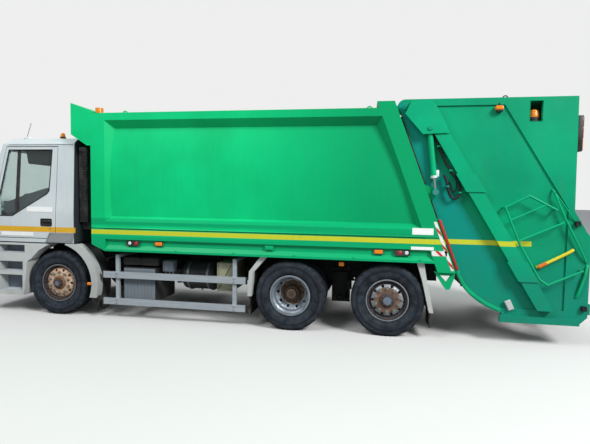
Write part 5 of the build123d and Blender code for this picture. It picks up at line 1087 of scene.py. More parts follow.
for hand, side in (("left", -1), ("right", 1)):
    y = side * 0.88
    housing = block(f"headlamp_housing_{hand}", (-4.7085, y - 0.182, 0.452), (-4.60, y + 0.182, 0.668))
    bevel(housing, 0.022, 3, lambda middle, way: abs(way.x) > 0.9)
    inset(housing, facing(x=-1), 0.014, 0.0)
    inset(housing, facing(x=-1), 0.004, -0.075)
    finished(housing, "chassis", black_plastic)
    for place_in, spot, radius in (("inner", -0.078, 0.074), ("outer", 0.086, 0.070)):
        bowl_y = y + side * spot
        bowl = turned(
            f"headlamp_bowl_{hand}_{place_in}",
            [
                (0.0, 0.0),
                (0.002, 0.02),
                (0.012, radius * 0.6),
                (0.034, radius * 0.93),
                (0.052, radius),
                (0.049, radius + 0.004),
                (-0.006, radius * 0.5),
                (-0.006, 0.0),
            ],
            (-4.640, bowl_y, 0.56),
            (-1, 0, 0),
            36,
        )
        finished(bowl, "chassis", mirror_silver)
        bulb = turned(
            f"headlamp_bulb_{hand}_{place_in}",
            [(0.0, 0.0), (0.0, 0.010), (0.02, 0.010), (0.032, 0.006), (0.035, 0.0)],
            (-4.642, bowl_y, 0.56),
            (-1, 0, 0),
            16,
        )
        finished(bulb, "chassis", clear_lens)
    cover = block(f"headlamp_cover_{hand}", (-4.7065, y - 0.170, 0.464), (-4.7030, y + 0.170, 0.656))
    bevel(cover, 0.016, 3, lambda middle, way: abs(way.x) > 0.9)
    finished(cover, "chassis", glass)
    if side < 0:
        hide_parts("headlamps")
    fog = turned(
        f"fog_lamp_{hand}",
        [(0.0, 0.0), (0.003, 0.02), (0.004, 0.045), (0.0035, 0.052), (-0.02, 0.055), (-0.02, 0.0)],
        (-4.7055, side * 0.80, 0.385),
        (-1, 0, 0),
        28,
    )
    finished(fog, "chassis", clear_lens)
    corner_lamp = block(
        f"corner_indicator_{hand}",
        (-4.66, side * 1.205 - 0.006, 1.10),
        (-4.57, side * 1.205 + 0.006 + side * 0.006, 1.20),
    )
    bevel(corner_lamp, 0.004, 2)
    finished(corner_lamp, "cab", amber_lens)

plate = block("front_plate", (-4.7095, -0.26, 0.50), (-4.7005, 0.26, 0.61))
bevel(plate, 0.002, 1)
inset(plate, facing(x=-1), 0.006, -0.001)
finished(plate, "chassis", white_film)
intake_slot = block("bumper_slot", (-4.7095, -0.50, 0.66), (-4.695, 0.50, 0.76))
bevel(intake_slot, 0.02, 3, lambda middle, way: abs(way.x) > 0.9)
inset(intake_slot, facing(x=-1), 0.012, -0.008)
finished(intake_slot, "chassis", black_plastic)
tow_cover = turned(
    "tow_ring",
    [
        (0.0, 0.026),
        (0.004, 0.028),
        (0.004, 0.048),
        (0.0, 0.052),
        (-0.004, 0.052),
        (-0.004, 0.026),
        (0.0, 0.026),
    ],
    (-4.7055, 0.5, 0.43),
    (-1, 0, 0),
    32,
)
finished(tow_cover, "chassis", steel)


def screen_x(z, out=0.0):
    """X of the windscreen's outer face at a height, with a distance forward."""
    low_z, low_x, high_z, high_x = up(0.64), behind(-1.345), up(1.80), behind(-0.945)
    share = (z - low_z) / (high_z - low_z)
    return low_x + share * (high_x - low_x) - out


for count, (pivot_y, tip_y) in enumerate(((-0.85, -0.28), (-0.15, 0.42), (0.55, 1.02))):
    arm = pipe(
        f"wiper_arm_{count}",
        [
            (screen_x(1.60, 0.010), pivot_y, 1.60),
            (screen_x(1.66, 0.032), pivot_y + 0.03, 1.66),
            (screen_x(1.74, 0.034), (pivot_y + tip_y) / 2, 1.74),
            (screen_x(1.80, 0.026), tip_y, 1.80),
        ],
        0.007,
    )
    finished(arm, "cab", black_plastic)
    rubber = block(
        f"wiper_blade_{count}", (-0.006, pivot_y + 0.02, -0.012), (0.006, pivot_y + 0.68, 0.012)
    )
    bevel(rubber, 0.004, 2)
    rubber.data.transform(Matrix.Translation((screen_x(1.80, 0.016), 0, 1.80)))
    finished(rubber, "cab", rubber_seal)
    spindle = rod(
        f"wiper_spindle_{count}",
        (screen_x(1.60, -0.004), pivot_y, 1.60),
        (screen_x(1.60, 0.026), pivot_y, 1.606),
        0.018,
        20,
    )
    bevel(spindle, 0.004, 2)
    finished(spindle, "cab", black_plastic)

screen_corners = []
for y, z in ((-1.09, 1.71), (1.09, 1.71), (1.09, 2.65), (-1.09, 2.65)):
    screen_corners.append((screen_x(z, 0.0), y, z))
screen_seal = pipe("screen_seal", screen_corners + screen_corners[:1], 0.012, soft=False)
finished(screen_seal, "cab", rubber_seal)

grab_bar = pipe(
    "front_grab_bar",
    [
        (-4.655, -0.62, 1.50),
        (-4.69, -0.62, 1.50),
        (-4.69, -0.62, 1.515),
        (-4.69, 0.62, 1.515),
        (-4.69, 0.62, 1.50),
        (-4.655, 0.62, 1.50),
    ],
    0.011,
    soft=False,
)
finished(grab_bar, "cab", black_plastic)

# Mirrors: glass on the rear faces, clamps on the arm
for count, (low, high) in enumerate(((1.18, 1.62), (0.92, 1.15))):
    pane = block(
        f"mirror_glass_{count}",
        (behind(-1.17) - 0.001, -1.44, up(low) + 0.025),
        (behind(-1.17) + 0.004, -1.28, up(high) - 0.025),
    )
    bevel(pane, 0.02, 3, lambda middle, way: abs(way.x) > 0.9)
    on_both(pane, "cab", mirror_silver)
clamp = rod("mirror_clamp", (behind(-1.23), -1.305, up(1.16)), (behind(-1.23), -1.305, up(1.175)), 0.028, 20)
bevel(clamp, 0.003, 1)
on_both(clamp, "cab", black_plastic)

# Cab roof: lamps, whip aerial, rotating beacon on its bracket, rain gutters
for count, y in enumerate((-0.95, -0.35, 0.35, 0.95)):
    roof_lamp = block(f"roof_lamp_{count}", (-3.99, y - 0.055, 2.846), (-3.93, y + 0.055, 2.885))
    bevel(roof_lamp, 0.014, 3)
    finished(roof_lamp, "cab", clear_lens)
aerial = pipe("roof_aerial", [(-4.03, -0.9, 2.84), (-4.0, -0.9, 2.92), (-3.93, -0.9, 3.12)], 0.004)
finished(aerial, "cab", black_plastic)
aerial_foot = turned(
    "aerial_foot",
    [(-0.01, 0.0), (-0.01, 0.028), (0.008, 0.026), (0.02, 0.010), (0.04, 0.006), (0.04, 0.0)],
    (-4.03, -0.9, 2.845),
    (0, 0, 1),
    20,
)
finished(aerial_foot, "cab", black_plastic)
beacon_post = rod("beacon_post", (-3.344, -0.9, 2.84), (-3.344, -0.9, 2.875), 0.022, 24)
bevel(beacon_post, 0.006, 2)
beacon_foot = turned(
    "beacon_foot",
    [(0.0, 0.0), (0.0, 0.048), (0.014, 0.047), (0.02, 0.040), (0.02, 0.0)],
    (-3.344, -0.9, 2.865),
    (0, 0, 1),
    32,
)
finished(joined("cab_beacon_foot", [beacon_post, beacon_foot]), "cab", black_plastic)
beacon_dome = turned(
    "cab_beacon_dome",
    [(0.0, 0.0), (0.0, 0.038), (0.036, 0.036), (0.056, 0.028), (0.066, 0.014), (0.068, 0.0)],
    (-3.344, -0.9, 2.883),
    (0, 0, 1),
    32,
)
finished(beacon_dome, "cab", amber_lens)
gutter = pipe(
    "roof_gutter",
    [(behind(x), cab_side(2.74, 0.004), 2.736) for x in (-0.84, -0.4, 0.30)],
    0.007,
    soft=False,
)
on_both(gutter, "cab", cab_white)
hatch = block("roof_hatch", (-3.75, -0.38, 2.846), (-3.20, 0.38, 2.872))
bevel(hatch, 0.03, 3, lambda middle, way: abs(way.z) > 0.9)
inset(hatch, facing(z=1), 0.03, 0.008)
finished(hatch, "cab", cab_white)

# Inside the cab: seats with sewn panels, headliner shelf, belts, gear lever, instruments


def seat_pad(name, low, high, lean=0.0, crown=0.03):
    """Foam pad under woven cloth, crowned between its corners, with one sewn channel across it."""
    pad = block(name, low, high)
    divide(pad, lambda middle, normal: True, 7)
    middle = (Vector(low) + Vector(high)) / 2
    half = (Vector(high) - Vector(low)) / 2
    for corner in pad.data.vertices:
        away = corner.co - middle
        shares = [min(1.0, abs(away[k]) / half[k]) for k in range(3)]
        thin = min(range(3), key=lambda k: half[k])
        across = [k for k in range(3) if k != thin]
        swell = (1 - shares[across[0]] ** 3) * (1 - shares[across[1]] ** 3)
        corner.co[thin] -= (1 - swell) * crown * (1 if away[thin] > 0 else -1) * shares[thin]
        seam = math.exp(-((abs(away[across[0]]) / half[across[0]] - 0.55) / 0.05) ** 2)
        corner.co[thin] -= seam * 0.012 * (1 if away[thin] > 0 else -1) * shares[thin]
        corner.co.x += lean * (corner.co.z - low[2])
    modifier = pad.modifiers.new("smooth", "SUBSURF")
    modifier.levels = modifier.render_levels = 2
    bpy.context.view_layer.objects.active = pad
    bpy.ops.object.modifier_apply(modifier="smooth")
    return finished(pad, "cab", seat_cloth, 60)


for hand, side in (("left", -1), ("right", 1)):
    y = side * 0.68
    cushion = seat_pad(f"seat_cushion_{hand}", (-3.69, y - 0.24, 1.52), (-3.15, y + 0.24, 1.65))
    seat_pad(f"seat_back_{hand}", (-3.20, y - 0.235, 1.655), (-3.09, y + 0.235, 2.26), 0.12)
    seat_pad(f"seat_headrest_{hand}", (-3.115, y - 0.14, 2.29), (-3.03, y + 0.14, 2.46), 0.12)
    pedestal = block(f"seat_pedestal_{hand}", (-3.62, y - 0.16, 1.2205), (-3.22, y + 0.15, 1.53))
    inset(pedestal, facing(x=-1), 0.03, -0.01)
    inset(pedestal, facing(y=side), 0.03, -0.01)
    bevel(pedestal, 0.006, 2)
    finished(pedestal, "cab", grey_plastic)
    if side < 0:
        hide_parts("seats")
    belt = pipe(
        f"seat_belt_{hand}",
        [(-3.02, side * 1.10, 2.35), (-3.04, side * 1.10, 1.9), (-3.08, side * 1.08, 1.4)],
        0.012,
    )
    finished(belt, "cab", seat_cloth)

headliner = block("headliner_shelf", (-3.90, -1.09, 2.43), (-3.0, 1.09, 2.785))
shift(headliner, lambda corner, way: corner.x < -3.8 and corner.z < 2.6, (0.06, 0, 0.0))
bevel(headliner, 0.02, 2)
inset(headliner, lambda middle, normal: normal.x < -0.6, 0.05, -0.02)
finished(headliner, "cab", headliner_black)
arch_panel = block(
    "arch_panel",
    (behind(-0.17), -CAB_HALF - 0.014, 1.175),
    (behind(0.335), -CAB_HALF + 0.004, 1.335),
)
shift(arch_panel, lambda corner, way: corner.x < behind(-0.1) and corner.z > 1.3, (0.07, 0, 0))
shift(arch_panel, lambda corner, way: corner.x > behind(0.3) and corner.z < 1.2, (-0.03, 0, 0))
bevel(arch_panel, 0.008, 2)
inset(arch_panel, facing(y=-1), 0.018, -0.005)
on_both(arch_panel, "cab", panel_grey)
cluster = block("instrument_hood", (-4.33, -0.95, 1.655), (-4.16, -0.42, 1.755))
shift(cluster, lambda corner, way: corner.x < -4.3 and corner.z > 1.7, (0.04, 0, -0.03))
bevel(cluster, 0.018, 3)
inset(cluster, facing(x=1), 0.02, -0.03)
finished(cluster, "cab", black_plastic)
console = block("centre_console", (-4.30, -0.32, 1.36), (-4.20, 0.32, 1.66))
inset(console, facing(x=1), 0.03, -0.012)
divide(console, facing(x=1), 3)


def console_switch(middle, normal):
    return normal.x > 0.9 and abs(middle.y) < 0.28 and abs(middle.z - 1.51) < 0.11


inset(console, console_switch, 0.006, -0.006, True)
finished(console, "cab", grey_plastic)
lever_boot = turned(
    "gear_lever_boot",
    [(0.0, 0.07), (0.02, 0.062), (0.05, 0.04), (0.09, 0.018), (0.09, 0.0)],
    (-3.78, -0.22, 1.345),
    (0, 0, 1),
    24,
)
finished(lever_boot, "cab", rubber_seal)
gear_lever = pipe("gear_lever", [(-3.78, -0.22, 1.38), (-3.79, -0.23, 1.55), (-3.77, -0.25, 1.68)], 0.009)
knob = turned(
    "gear_knob",
    [(-0.03, 0.0), (-0.026, 0.014), (0.0, 0.026), (0.024, 0.022), (0.034, 0.0)],
    (-3.77, -0.25, 1.70),
    (0, 0, 1),
    20,
)
finished(joined("gear_lever", [gear_lever, knob]), "cab", black_plastic)

# Behind the cab: louvres of the air intake

louvres = block("intake_louvres", (-2.888, -1.127, 1.90), (-2.772, -1.117, 2.63))
divide(louvres, facing(y=-1), 3)
LOUVRE_LOW, LOUVRE_PITCH, LOUVRE_COUNT = 1.90, 0.0405, 18
for cut in range(1, LOUVRE_COUNT):
    saw(louvres, (0, 0, LOUVRE_LOW + LOUVRE_PITCH * cut), (0, 0, 1))


def louvre_cell(middle, normal):
    return normal.y < -0.9 and -2.88 < middle.x < -2.78


inset(louvres, louvre_cell, 0.005, -0.006, individual=True)
finished(louvres, "chassis", black_plastic)
intake_cap = block("intake_cap", (-2.905, -1.125, 2.60), (-2.755, -0.875, 2.695))
bevel(intake_cap, 0.02, 3)
inset(intake_cap, facing(x=-1), 0.012, -0.008)
finished(intake_cap, "chassis", black_plastic)

# Body side: pressed fold over the stripe, marker lamps, round lamps in the channel, fasteners

sill_fold = block("sill_fold", (-2.53, -1.2825, 1.436), (2.58, -1.2740, 1.450))
shift(sill_fold, lambda corner, way: corner.y < -1.28 and corner.z > 1.445, (0, 0.006, 0))
bevel(sill_fold, 0.0015, 1)
on_both(sill_fold, "chassis", body_green)

for count, x in enumerate((-1.48, 0.23, 1.79)):
    base = block(f"marker_base_{count}", (x - 0.066, -1.2645, 1.181), (x + 0.066, -1.2520, 1.249))
    bevel(base, 0.006, 2, lambda middle, way: abs(way.y) > 0.9)
    inset(base, facing(y=-1), 0.005, 0.0)
    on_both(base, "chassis", body_green if count == 1 else black_plastic)
    cover = block(f"marker_cover_{count}", (x - 0.058, -1.2705, 1.189), (x + 0.058, -1.2640, 1.241))
    bevel(cover, 0.005, 3)
    on_both(cover, "chassis", body_green if count == 1 else amber_lens)

for count, (x, cells) in enumerate(((-1.90, (-0.052, 0.052)), (2.11, (0.060, -0.030)))):
    unit = block(f"lamp_unit_{count}", (x - 0.105, -1.2725, 1.174), (x + 0.105, -1.2600, 1.252))
    bevel(unit, 0.012, 3, lambda middle, way: abs(way.y) > 0.9)
    inset(unit, facing(y=-1), 0.007, 0.0)
    inset(unit, facing(y=-1), 0.003, -0.004)
    on_both(unit, "chassis", black_plastic)
    for spot, material in zip(cells, (clear_lens, red_lens)):
        cell = turned(
            f"lamp_cell_{count}_{'rear' if spot > 0 else 'front'}",
            [(0.0, 0.0), (0.004, 0.012), (0.003, 0.022), (0.0, 0.026), (-0.006, 0.026), (-0.006, 0.0)],
            (x + spot, -1.2690, 1.213),
            (0, -1, 0),
            24,
        )
        on_both(cell, "chassis", material)

for count, x in enumerate((-2.41, -1.2, -0.3, 0.6, 1.45, 2.35)):
    rivet = turned(
        f"sill_rivet_{count}",
        [(0.0, 0.0), (0.006, 0.004), (0.005, 0.009), (0.0, 0.012), (-0.003, 0.012), (-0.003, 0.0)],
        (x, -1.2765, 1.12),
        (0, -1, 0),
        16,
    )
    on_both(rivet, "chassis", body_green)

# Rear frame of the body: hazard tape down its edge, red marker on the tailgate's edge beside it


def joint_x(z):
    """X of the slanted line where the tailgate meets the body."""
    return JOINT_X - 0.375 * (z - 0.97)


tape_corners = []
for x_in, z in ((0.052, 1.65), (0.012, 1.65), (0.012, 0.99), (0.052, 0.99)):
    tape_corners.append((joint_x(z) - x_in, -BODY_HALF - 0.0004, z))
edge_tape = plate_between("edge_tape", tape_corners, -0.0012)
on_both(edge_tape, "chassis", hazard_tape)
bar_corners = []
for x_in, z in ((0.030, 1.68), (0.068, 1.68), (0.068, 0.99), (0.030, 0.99)):
    bar_corners.append((joint_x(z) + x_in, -GATE_OUTER - 0.0004, z))
edge_bar = plate_between("edge_bar", bar_corners, -0.018)
bevel(edge_bar, 0.003, 2)
on_both(edge_bar, "tailgate", red_paint)

FILMS = [
    # front x, rear x, lowest z, highest z
    ("rear_label_0", (2.235, 2.515, 1.470, 1.560), white_film, "cab_paint"),
    ("rear_label_1", (2.225, 2.525, 1.262, 1.305), white_film, "cab_paint"),
    ("rear_patch", (2.50, 2.70, 1.185, 1.255), hazard_tape, "lamp_plastic"),
]
for name, edges, material, slot in FILMS:
    film = wall_plate(name, -BODY_HALF - 0.0004, rectangle(*edges), -0.0012)
    on_both(film, "chassis", material)

# Body roof: cross ribs, lifting eyes, corner lamp feet
for count, x in enumerate((-1.9, -1.05, -0.2, 0.65, 1.5)):
    rib = block(f"roof_rib_{count}", (x - 0.03, -1.08, 3.185), (x + 0.03, 1.08, 3.2))
    divide(rib, facing(z=1), 5)
    for corner in rib.data.vertices:
        if corner.co.z > 3.195:
            corner.co.z = 3.246 - 0.030 * (corner.co.y / 1.15) ** 2
    bevel(rib, 0.004, 2, lambda middle, way: abs(way.x) < 0.5 and middle.z > 3.2 and abs(middle.x - x) > 0.02)
    finished(rib, "chassis", roof_green)
for count, (x, y) in enumerate(((-2.2, -0.95), (-2.2, 0.95), (1.62, -0.95), (1.62, 0.95))):
    eye = pipe(
        f"lifting_eye_{count}",
        [(x - 0.05, y, 3.18), (x - 0.045, y, 3.25), (x, y, 3.285), (x + 0.045, y, 3.25), (x + 0.05, y, 3.18)],
        0.010,
    )
    finished(eye, "chassis", roof_green)
corner_foot = turned(
    "corner_lamp_foot",
    [(0.0, 0.05), (0.0, 0.072), (0.016, 0.070), (0.022, 0.064), (0.022, 0.05), (0.0, 0.05)],
    (-2.53, -1.125, 3.19),
    (0, 0, 1),
    32,
)
on_both(corner_foot, "chassis", black_plastic)

# Chassis side: guard rail ends and bolts, boxes, straps, filler, air lines, brake chambers
for count, (low, high) in enumerate(((0.65, 0.75), (0.23, 0.33))):
    for end, x in (("front", -2.455), ("rear", -0.125)):
        cap = block(
            f"guard_cap_{count}_{end}",
            (x - 0.012, -1.2035, low - 0.0035),
            (x + 0.012, -1.1665, high + 0.0035),
        )
        bevel(cap, 0.006, 2)
        on_both(cap, "chassis", black_plastic)
    for end, x in (("front", -2.22), ("rear", -0.315)):
        for spot in (-0.026, 0.026):
            name = f"guard_bolt_{count}_{end}_{'low' if spot < 0 else 'high'}"
            bolt_z = (low + high) / 2 + spot
            bolt = rod(name, (x, -1.198, bolt_z), (x, -1.211, bolt_z), 0.011, 6)
            inset(bolt, facing(y=-1), 0.003, 0.002)
            on_both(bolt, "chassis", zinc)

ribbed = block("tool_box_front", (-2.145, -1.108, 0.285), (-1.625, -1.099, 0.795))
RIBBED_FRONT, RIBBED_PITCH, RIBBED_COUNT = -2.145, 0.0578, 9
for cut in range(1, RIBBED_COUNT):
    saw(ribbed, (RIBBED_FRONT + RIBBED_PITCH * cut, 0, 0), (1, 0, 0))
saw(ribbed, (0, 0, 0.54), (0, 0, 1))
inset(ribbed, facing(y=-1), 0.008, 0.007, individual=True)
finished(ribbed, "chassis", pale_tank)
for count, (x_low, x_high) in enumerate(((-2.165, -1.885), (-1.865, -1.585))):
    lid = block(f"case_lid_{count}", (x_low, -1.0875, 0.845), (x_high, -0.60, 0.962))
    bevel(lid, 0.012, 3)
    inset(lid, facing(y=-1), 0.02, -0.005)
    inset(lid, facing(z=1), 0.03, 0.004)
    finished(lid, "chassis", case_black)
valve_body = block("air_valve", (-1.53, -1.035, 0.75), (-1.35, -0.90, 0.93))
bevel(valve_body, 0.014, 3)
inset(valve_body, facing(y=-1), 0.03, 0.018)
inset(valve_body, facing(y=-1), 0.01, -0.006)
finished(valve_body, "chassis", blue_grey)
for count, (x, z) in enumerate(((-1.50, 0.775), (-1.44, 0.755), (-1.38, 0.775))):
    fitting = rod(f"valve_fitting_{count}", (x, -0.98, z), (x, -0.98, z - 0.05), 0.014, 6)
    inset(fitting, facing(z=-1), 0.004, 0.006)
    finished(fitting, "chassis", zinc)
    line = pipe(
        f"valve_line_{count}",
        [
            (x, -0.98, z - 0.05),
            (x, -0.98, z - 0.12),
            (x + 0.06, -0.80, z - 0.16),
            (x + 0.10, -0.50, z - 0.10),
            (x + 0.14, -0.44, z),
        ],
        0.008,
    )
    finished(line, "chassis", hose_rubber)
battery_door = block("battery_door", (-0.612, -1.088, 0.515), (-0.378, -1.079, 0.925))
bevel(battery_door, 0.012, 3, lambda middle, way: abs(way.y) > 0.9)
inset(battery_door, facing(y=-1), 0.022, 0.0)
inset(battery_door, facing(y=-1), 0.006, -0.005)
finished(battery_door, "chassis", box_paint)
latch = block("battery_latch", (-0.520, -1.100, 0.865), (-0.470, -1.086, 0.905))
bevel(latch, 0.004, 2)
inset(latch, facing(y=-1), 0.008, -0.003)
finished(latch, "chassis", zinc)

for count, x in enumerate((-1.14, -0.82)):
    strap = turned(
        f"air_tank_strap_{count}",
        [(-0.018, 0.2252), (-0.018, 0.2285), (0.018, 0.2285), (0.018, 0.2252), (-0.018, 0.2252)],
        (x, -0.76, 0.685),
        (1, 0, 0),
        56,
    )
    finished(strap, "chassis", tank_steel)
    tie = rod(f"air_tank_tie_{count}", (x, -0.985, 0.66), (x, -1.0, 0.66), 0.010, 6)
    inset(tie, facing(y=-1), 0.003, 0.002)
    finished(tie, "chassis", zinc)
drain = turned(
    "air_tank_drain",
    [(0.0, 0.0), (0.0, 0.012), (0.018, 0.012), (0.018, 0.018), (0.030, 0.018), (0.030, 0.0)],
    (-0.98, -0.76, 0.462),
    (0, 0, -1),
    12,
)
finished(drain, "chassis", zinc)
for count, x in enumerate((-1.86, -1.18)):
    hoop = block(f"fuel_tank_strap_{count}", (x - 0.026, 0.514, 0.264), (x + 0.026, 1.1255, 0.9355))
    bevel(hoop, 0.03, 4, lambda middle, way: abs(way.x) > 0.9)
    inset(hoop, facing(y=1), 0.006, 0.001)
    finished(hoop, "chassis", rail_aluminium)
filler = turned(
    "fuel_filler_cap",
    [
        (0.0, 0.0),
        (0.0, 0.052),
        (0.014, 0.054),
        (0.016, 0.062),
        (0.036, 0.062),
        (0.042, 0.055),
        (0.046, 0.03),
        (0.046, 0.0),
    ],
    (-1.52, 1.02, 0.905),
    (0, 0, 1),
    18,
)
finished(filler, "chassis", black_plastic)

shield = block("exhaust_shield", (-0.76, 1.0815, 0.455), (-0.38, 1.0905, 0.915))
SHIELD_X, SHIELD_X_PITCH = -0.76, 0.0475
SHIELD_Z, SHIELD_Z_PITCH = 0.455, 0.0575
for cut in range(1, 8):
    saw(shield, (SHIELD_X + SHIELD_X_PITCH * cut, 0, 0), (1, 0, 0))
    saw(shield, (0, 0, SHIELD_Z + SHIELD_Z_PITCH * cut), (0, 0, 1))
inset(shield, facing(y=1), 0.010, -0.006, individual=True)
finished(shield, "chassis", rail_aluminium)

LINE_Y = -0.437
LINE_SAG = -0.002
for count, z in enumerate((0.80, 0.83, 0.86)):
    points = [(-2.35, LINE_Y, z), (-1.6, LINE_Y + LINE_SAG, z), (-0.6, LINE_Y, z)]
    points += [(0.3, LINE_Y + LINE_SAG, z), (1.2, LINE_Y, z), (2.45, LINE_Y, z)]
    line = pipe(f"rail_air_line_{count}", points, 0.007)
    on_both(line, "chassis", hose_rubber)
for count, x in enumerate((-2.1, -1.0, -0.1, 1.0, 1.35, 2.3)):
    clip = block(f"line_clip_{count}", (x - 0.012, -0.4475, 0.785), (x + 0.012, -0.4295, 0.875))
    bevel(clip, 0.004, 2)
    on_both(clip, "chassis", black_plastic)

CHAMBER = [
    (0.0, 0.0),
    (0.0, 0.045),
    (0.02, 0.072),
    (0.055, 0.078),
    (0.058, 0.086),
    (0.072, 0.086),
    (0.075, 0.078),
    (0.13, 0.074),
    (0.15, 0.05),
    (0.155, 0.0),
]
CHAMBER_Y = -0.27
for axle, x, z, rod_start, rod_end in (("drive", 0.13, 0.60, 0.15, 0.25), ("tag", 2.11, 0.56, 0.0, -0.12)):
    chamber = turned(f"brake_chamber_{axle}", CHAMBER, (x, CHAMBER_Y, z), (1, 0, 0), 32)
    push_rod = rod("push_rod", (x + rod_start, CHAMBER_Y, z), (x + rod_end, CHAMBER_Y, z - 0.01), 0.011, 12)
    chamber = joined(f"brake_chamber_{axle}", [chamber, push_rod])
    on_both(chamber, "chassis", frame_black)

hanging_bracket = block("side_lamp_bracket", (1.252, -1.022, 1.005), (1.282, -0.998, 1.115))
inset(hanging_bracket, facing(y=-1), 0.006, -0.003)
on_both(hanging_bracket, "chassis", frame_black)
hanging_lamp = block("side_lamp_low", (1.230, -1.040, 0.955), (1.304, -0.990, 1.012))
bevel(hanging_lamp, 0.008, 3)
on_both(hanging_lamp, "chassis", amber_lens)

# Between the rear axles: spring hanger, cross tube with recessed ends, and the inner splash sheet
hanger = block("spring_hanger", (1.125, -0.600, 0.340), (1.355, -0.480, 0.800))
shift(hanger, lambda corner, way: corner.z < 0.4 and corner.x < 1.2, (0.055, 0, 0))
shift(hanger, lambda corner, way: corner.z < 0.4 and corner.x > 1.3, (-0.055, 0, 0))
bevel(hanger, 0.010, 2)
inset(hanger, facing(y=-1), 0.022, -0.014)
on_both(hanger, "chassis", frame_black)
cross_tube = rod("hanger_cross_tube", (1.240, -0.640, 0.400), (1.240, 0.640, 0.400), 0.038, 28)
inset(cross_tube, lambda middle, normal: abs(normal.y) > 0.9, 0.008, -0.010)
finished(cross_tube, "chassis", frame_black)
sheet_corners = [(1.095, -0.470, 0.84), (1.385, -0.470, 0.84), (1.385, -0.470, 0.30), (1.095, -0.470, 0.30)]
splash = plate_between("splash_sheet", sheet_corners, 0.006)
inset(splash, facing(y=-1), 0.018, -0.002)
on_both(splash, "chassis", mud_rubber)

# Rubber seal in the slanted joint, where the tailgate closes on the body
seal_corners = []
for x_in, z in ((-0.002, 3.08), (0.032, 3.08), (0.034, 1.70), (-0.002, 1.70)):
    seal_corners.append((joint_x(z) + x_in, -1.186, z))
joint_seal = plate_between("joint_seal", seal_corners, 0.019)
bevel(joint_seal, 0.004, 2)
on_both(joint_seal, "chassis", rubber_seal)

# Flat bar welded along the tailgate's lower front edge, and a pale bracket low on its side
FLANGE_FRONT = [(2.845, 0.985), (2.858, 0.918), (2.933, 0.778), (3.010, 0.690), (3.097, 0.620)]
FLANGE_FOOT = [(3.250, 0.520), (3.440, 0.437), (3.440, 0.484), (3.272, 0.560)]
FLANGE_BACK = [(3.124, 0.655), (3.044, 0.722), (2.972, 0.800), (2.903, 0.930), (2.892, 0.985)]
GATE_SKIN_Y = -GATE_OUTER - 0.0005
flange = wall_plate("gate_edge_bar", GATE_SKIN_Y, FLANGE_FRONT + FLANGE_FOOT + FLANGE_BACK, -0.006)
bevel(flange, 0.002, 2)
on_both(flange, "tailgate", edge_green)
BRACKET = [(3.6088, 0.4961), (3.536, 0.4625), (3.4772, 0.5899), (3.550, 0.6235)]
pale_bracket = wall_plate("gate_side_bracket", GATE_SKIN_Y, BRACKET, -0.035)
bevel(pale_bracket, 0.008, 2)
inset(pale_bracket, facing(y=-1), 0.010, 0.003)
on_both(pale_bracket, "tailgate", step_grey)

# Tailgate side: hinge plate pins, ram fittings and hoses, lifting shackle, hanging lamp, beacon

HINGE_X, HINGE_Z = 2.105, 3.21
RAM_Y = -1.215
RAM_TOP_X, RAM_TOP_Z = 2.425, 2.91
RAM_FOOT_X, RAM_FOOT_Z = 2.53, 2.05
BARREL_LENGTH = 0.668

pin_head = turned(
    "hinge_pin_head",
    [(0.0, 0.0), (0.0, 0.042), (0.010, 0.042), (0.016, 0.036), (0.016, 0.018), (0.024, 0.016), (0.024, 0.0)],
    (HINGE_X, -1.2095, HINGE_Z),
    (0, -1, 0),
    28,
)
on_both(pin_head, "tailgate", gate_green)
pin_keeper = block("pin_keeper", (2.07, -1.2290, 3.172), (2.14, -1.2090, 3.188))
bevel(pin_keeper, 0.003, 2)
on_both(pin_keeper, "tailgate", gate_green)
ram_pin = turned(
    "ram_pin_head",
    [(0.0, 0.0), (0.0, 0.030), (0.012, 0.030), (0.015, 0.026), (0.015, 0.0)],
    (RAM_TOP_X, -1.2745, RAM_TOP_Z),
    (0, -1, 0),
    24,
)
on_both(ram_pin, "tailgate", gate_green)

ram_top = Vector((RAM_TOP_X, RAM_Y, RAM_TOP_Z))
ram_foot = Vector((RAM_FOOT_X, RAM_Y, RAM_FOOT_Z))
ram_way = (ram_foot - ram_top).normalized()
barrel_end = ram_top + ram_way * BARREL_LENGTH
gland = turned(
    "ram_gland",
    [
        (-0.03, 0.0385),
        (-0.03, 0.0425),
        (0.002, 0.0425),
        (0.006, 0.036),
        (0.012, 0.024),
        (0.012, 0.020),
        (-0.03, 0.0385),
    ],
    barrel_end,
    ram_way,
    32,
)
on_both(gland, "lift_ram_barrels", white_nylon)
port = block("ram_port", (2.528, -1.232, 2.262), (2.562, -1.198, 2.352))
bevel(port, 0.005, 2)
inset(port, facing(x=1), 0.007, 0.005)
on_both(port, "lift_ram_barrels", white_nylon)
eye_bush = turned(
    "ram_eye_bush",
    [(0.0, 0.0), (0.0, 0.024), (0.006, 0.024), (0.006, 0.014), (0.002, 0.012), (0.002, 0.0)],
    (RAM_FOOT_X, -1.2375, RAM_FOOT_Z),
    (0, -1, 0),
    24,
)
on_both(eye_bush, "lift_ram_rods", zinc)
knuckle = rod(
    "ram_knuckle", (RAM_FOOT_X, -1.1885, RAM_FOOT_Z), (RAM_FOOT_X, -1.2395, RAM_FOOT_Z), 0.0465, 40
)
inset(knuckle, lambda middle, normal: abs(normal.y) > 0.9, 0.012, 0.0015)
on_both(knuckle, "lift_ram_rods", gate_green)
nipple = turned(
    "grease_nipple",
    [(0.0, 0.0), (0.0, 0.006), (0.010, 0.006), (0.012, 0.003), (0.018, 0.004), (0.020, 0.0)],
    (2.57, -1.215, 2.055),
    (1, 0, 0),
    10,
)
on_both(nipple, "lift_ram_rods", zinc)

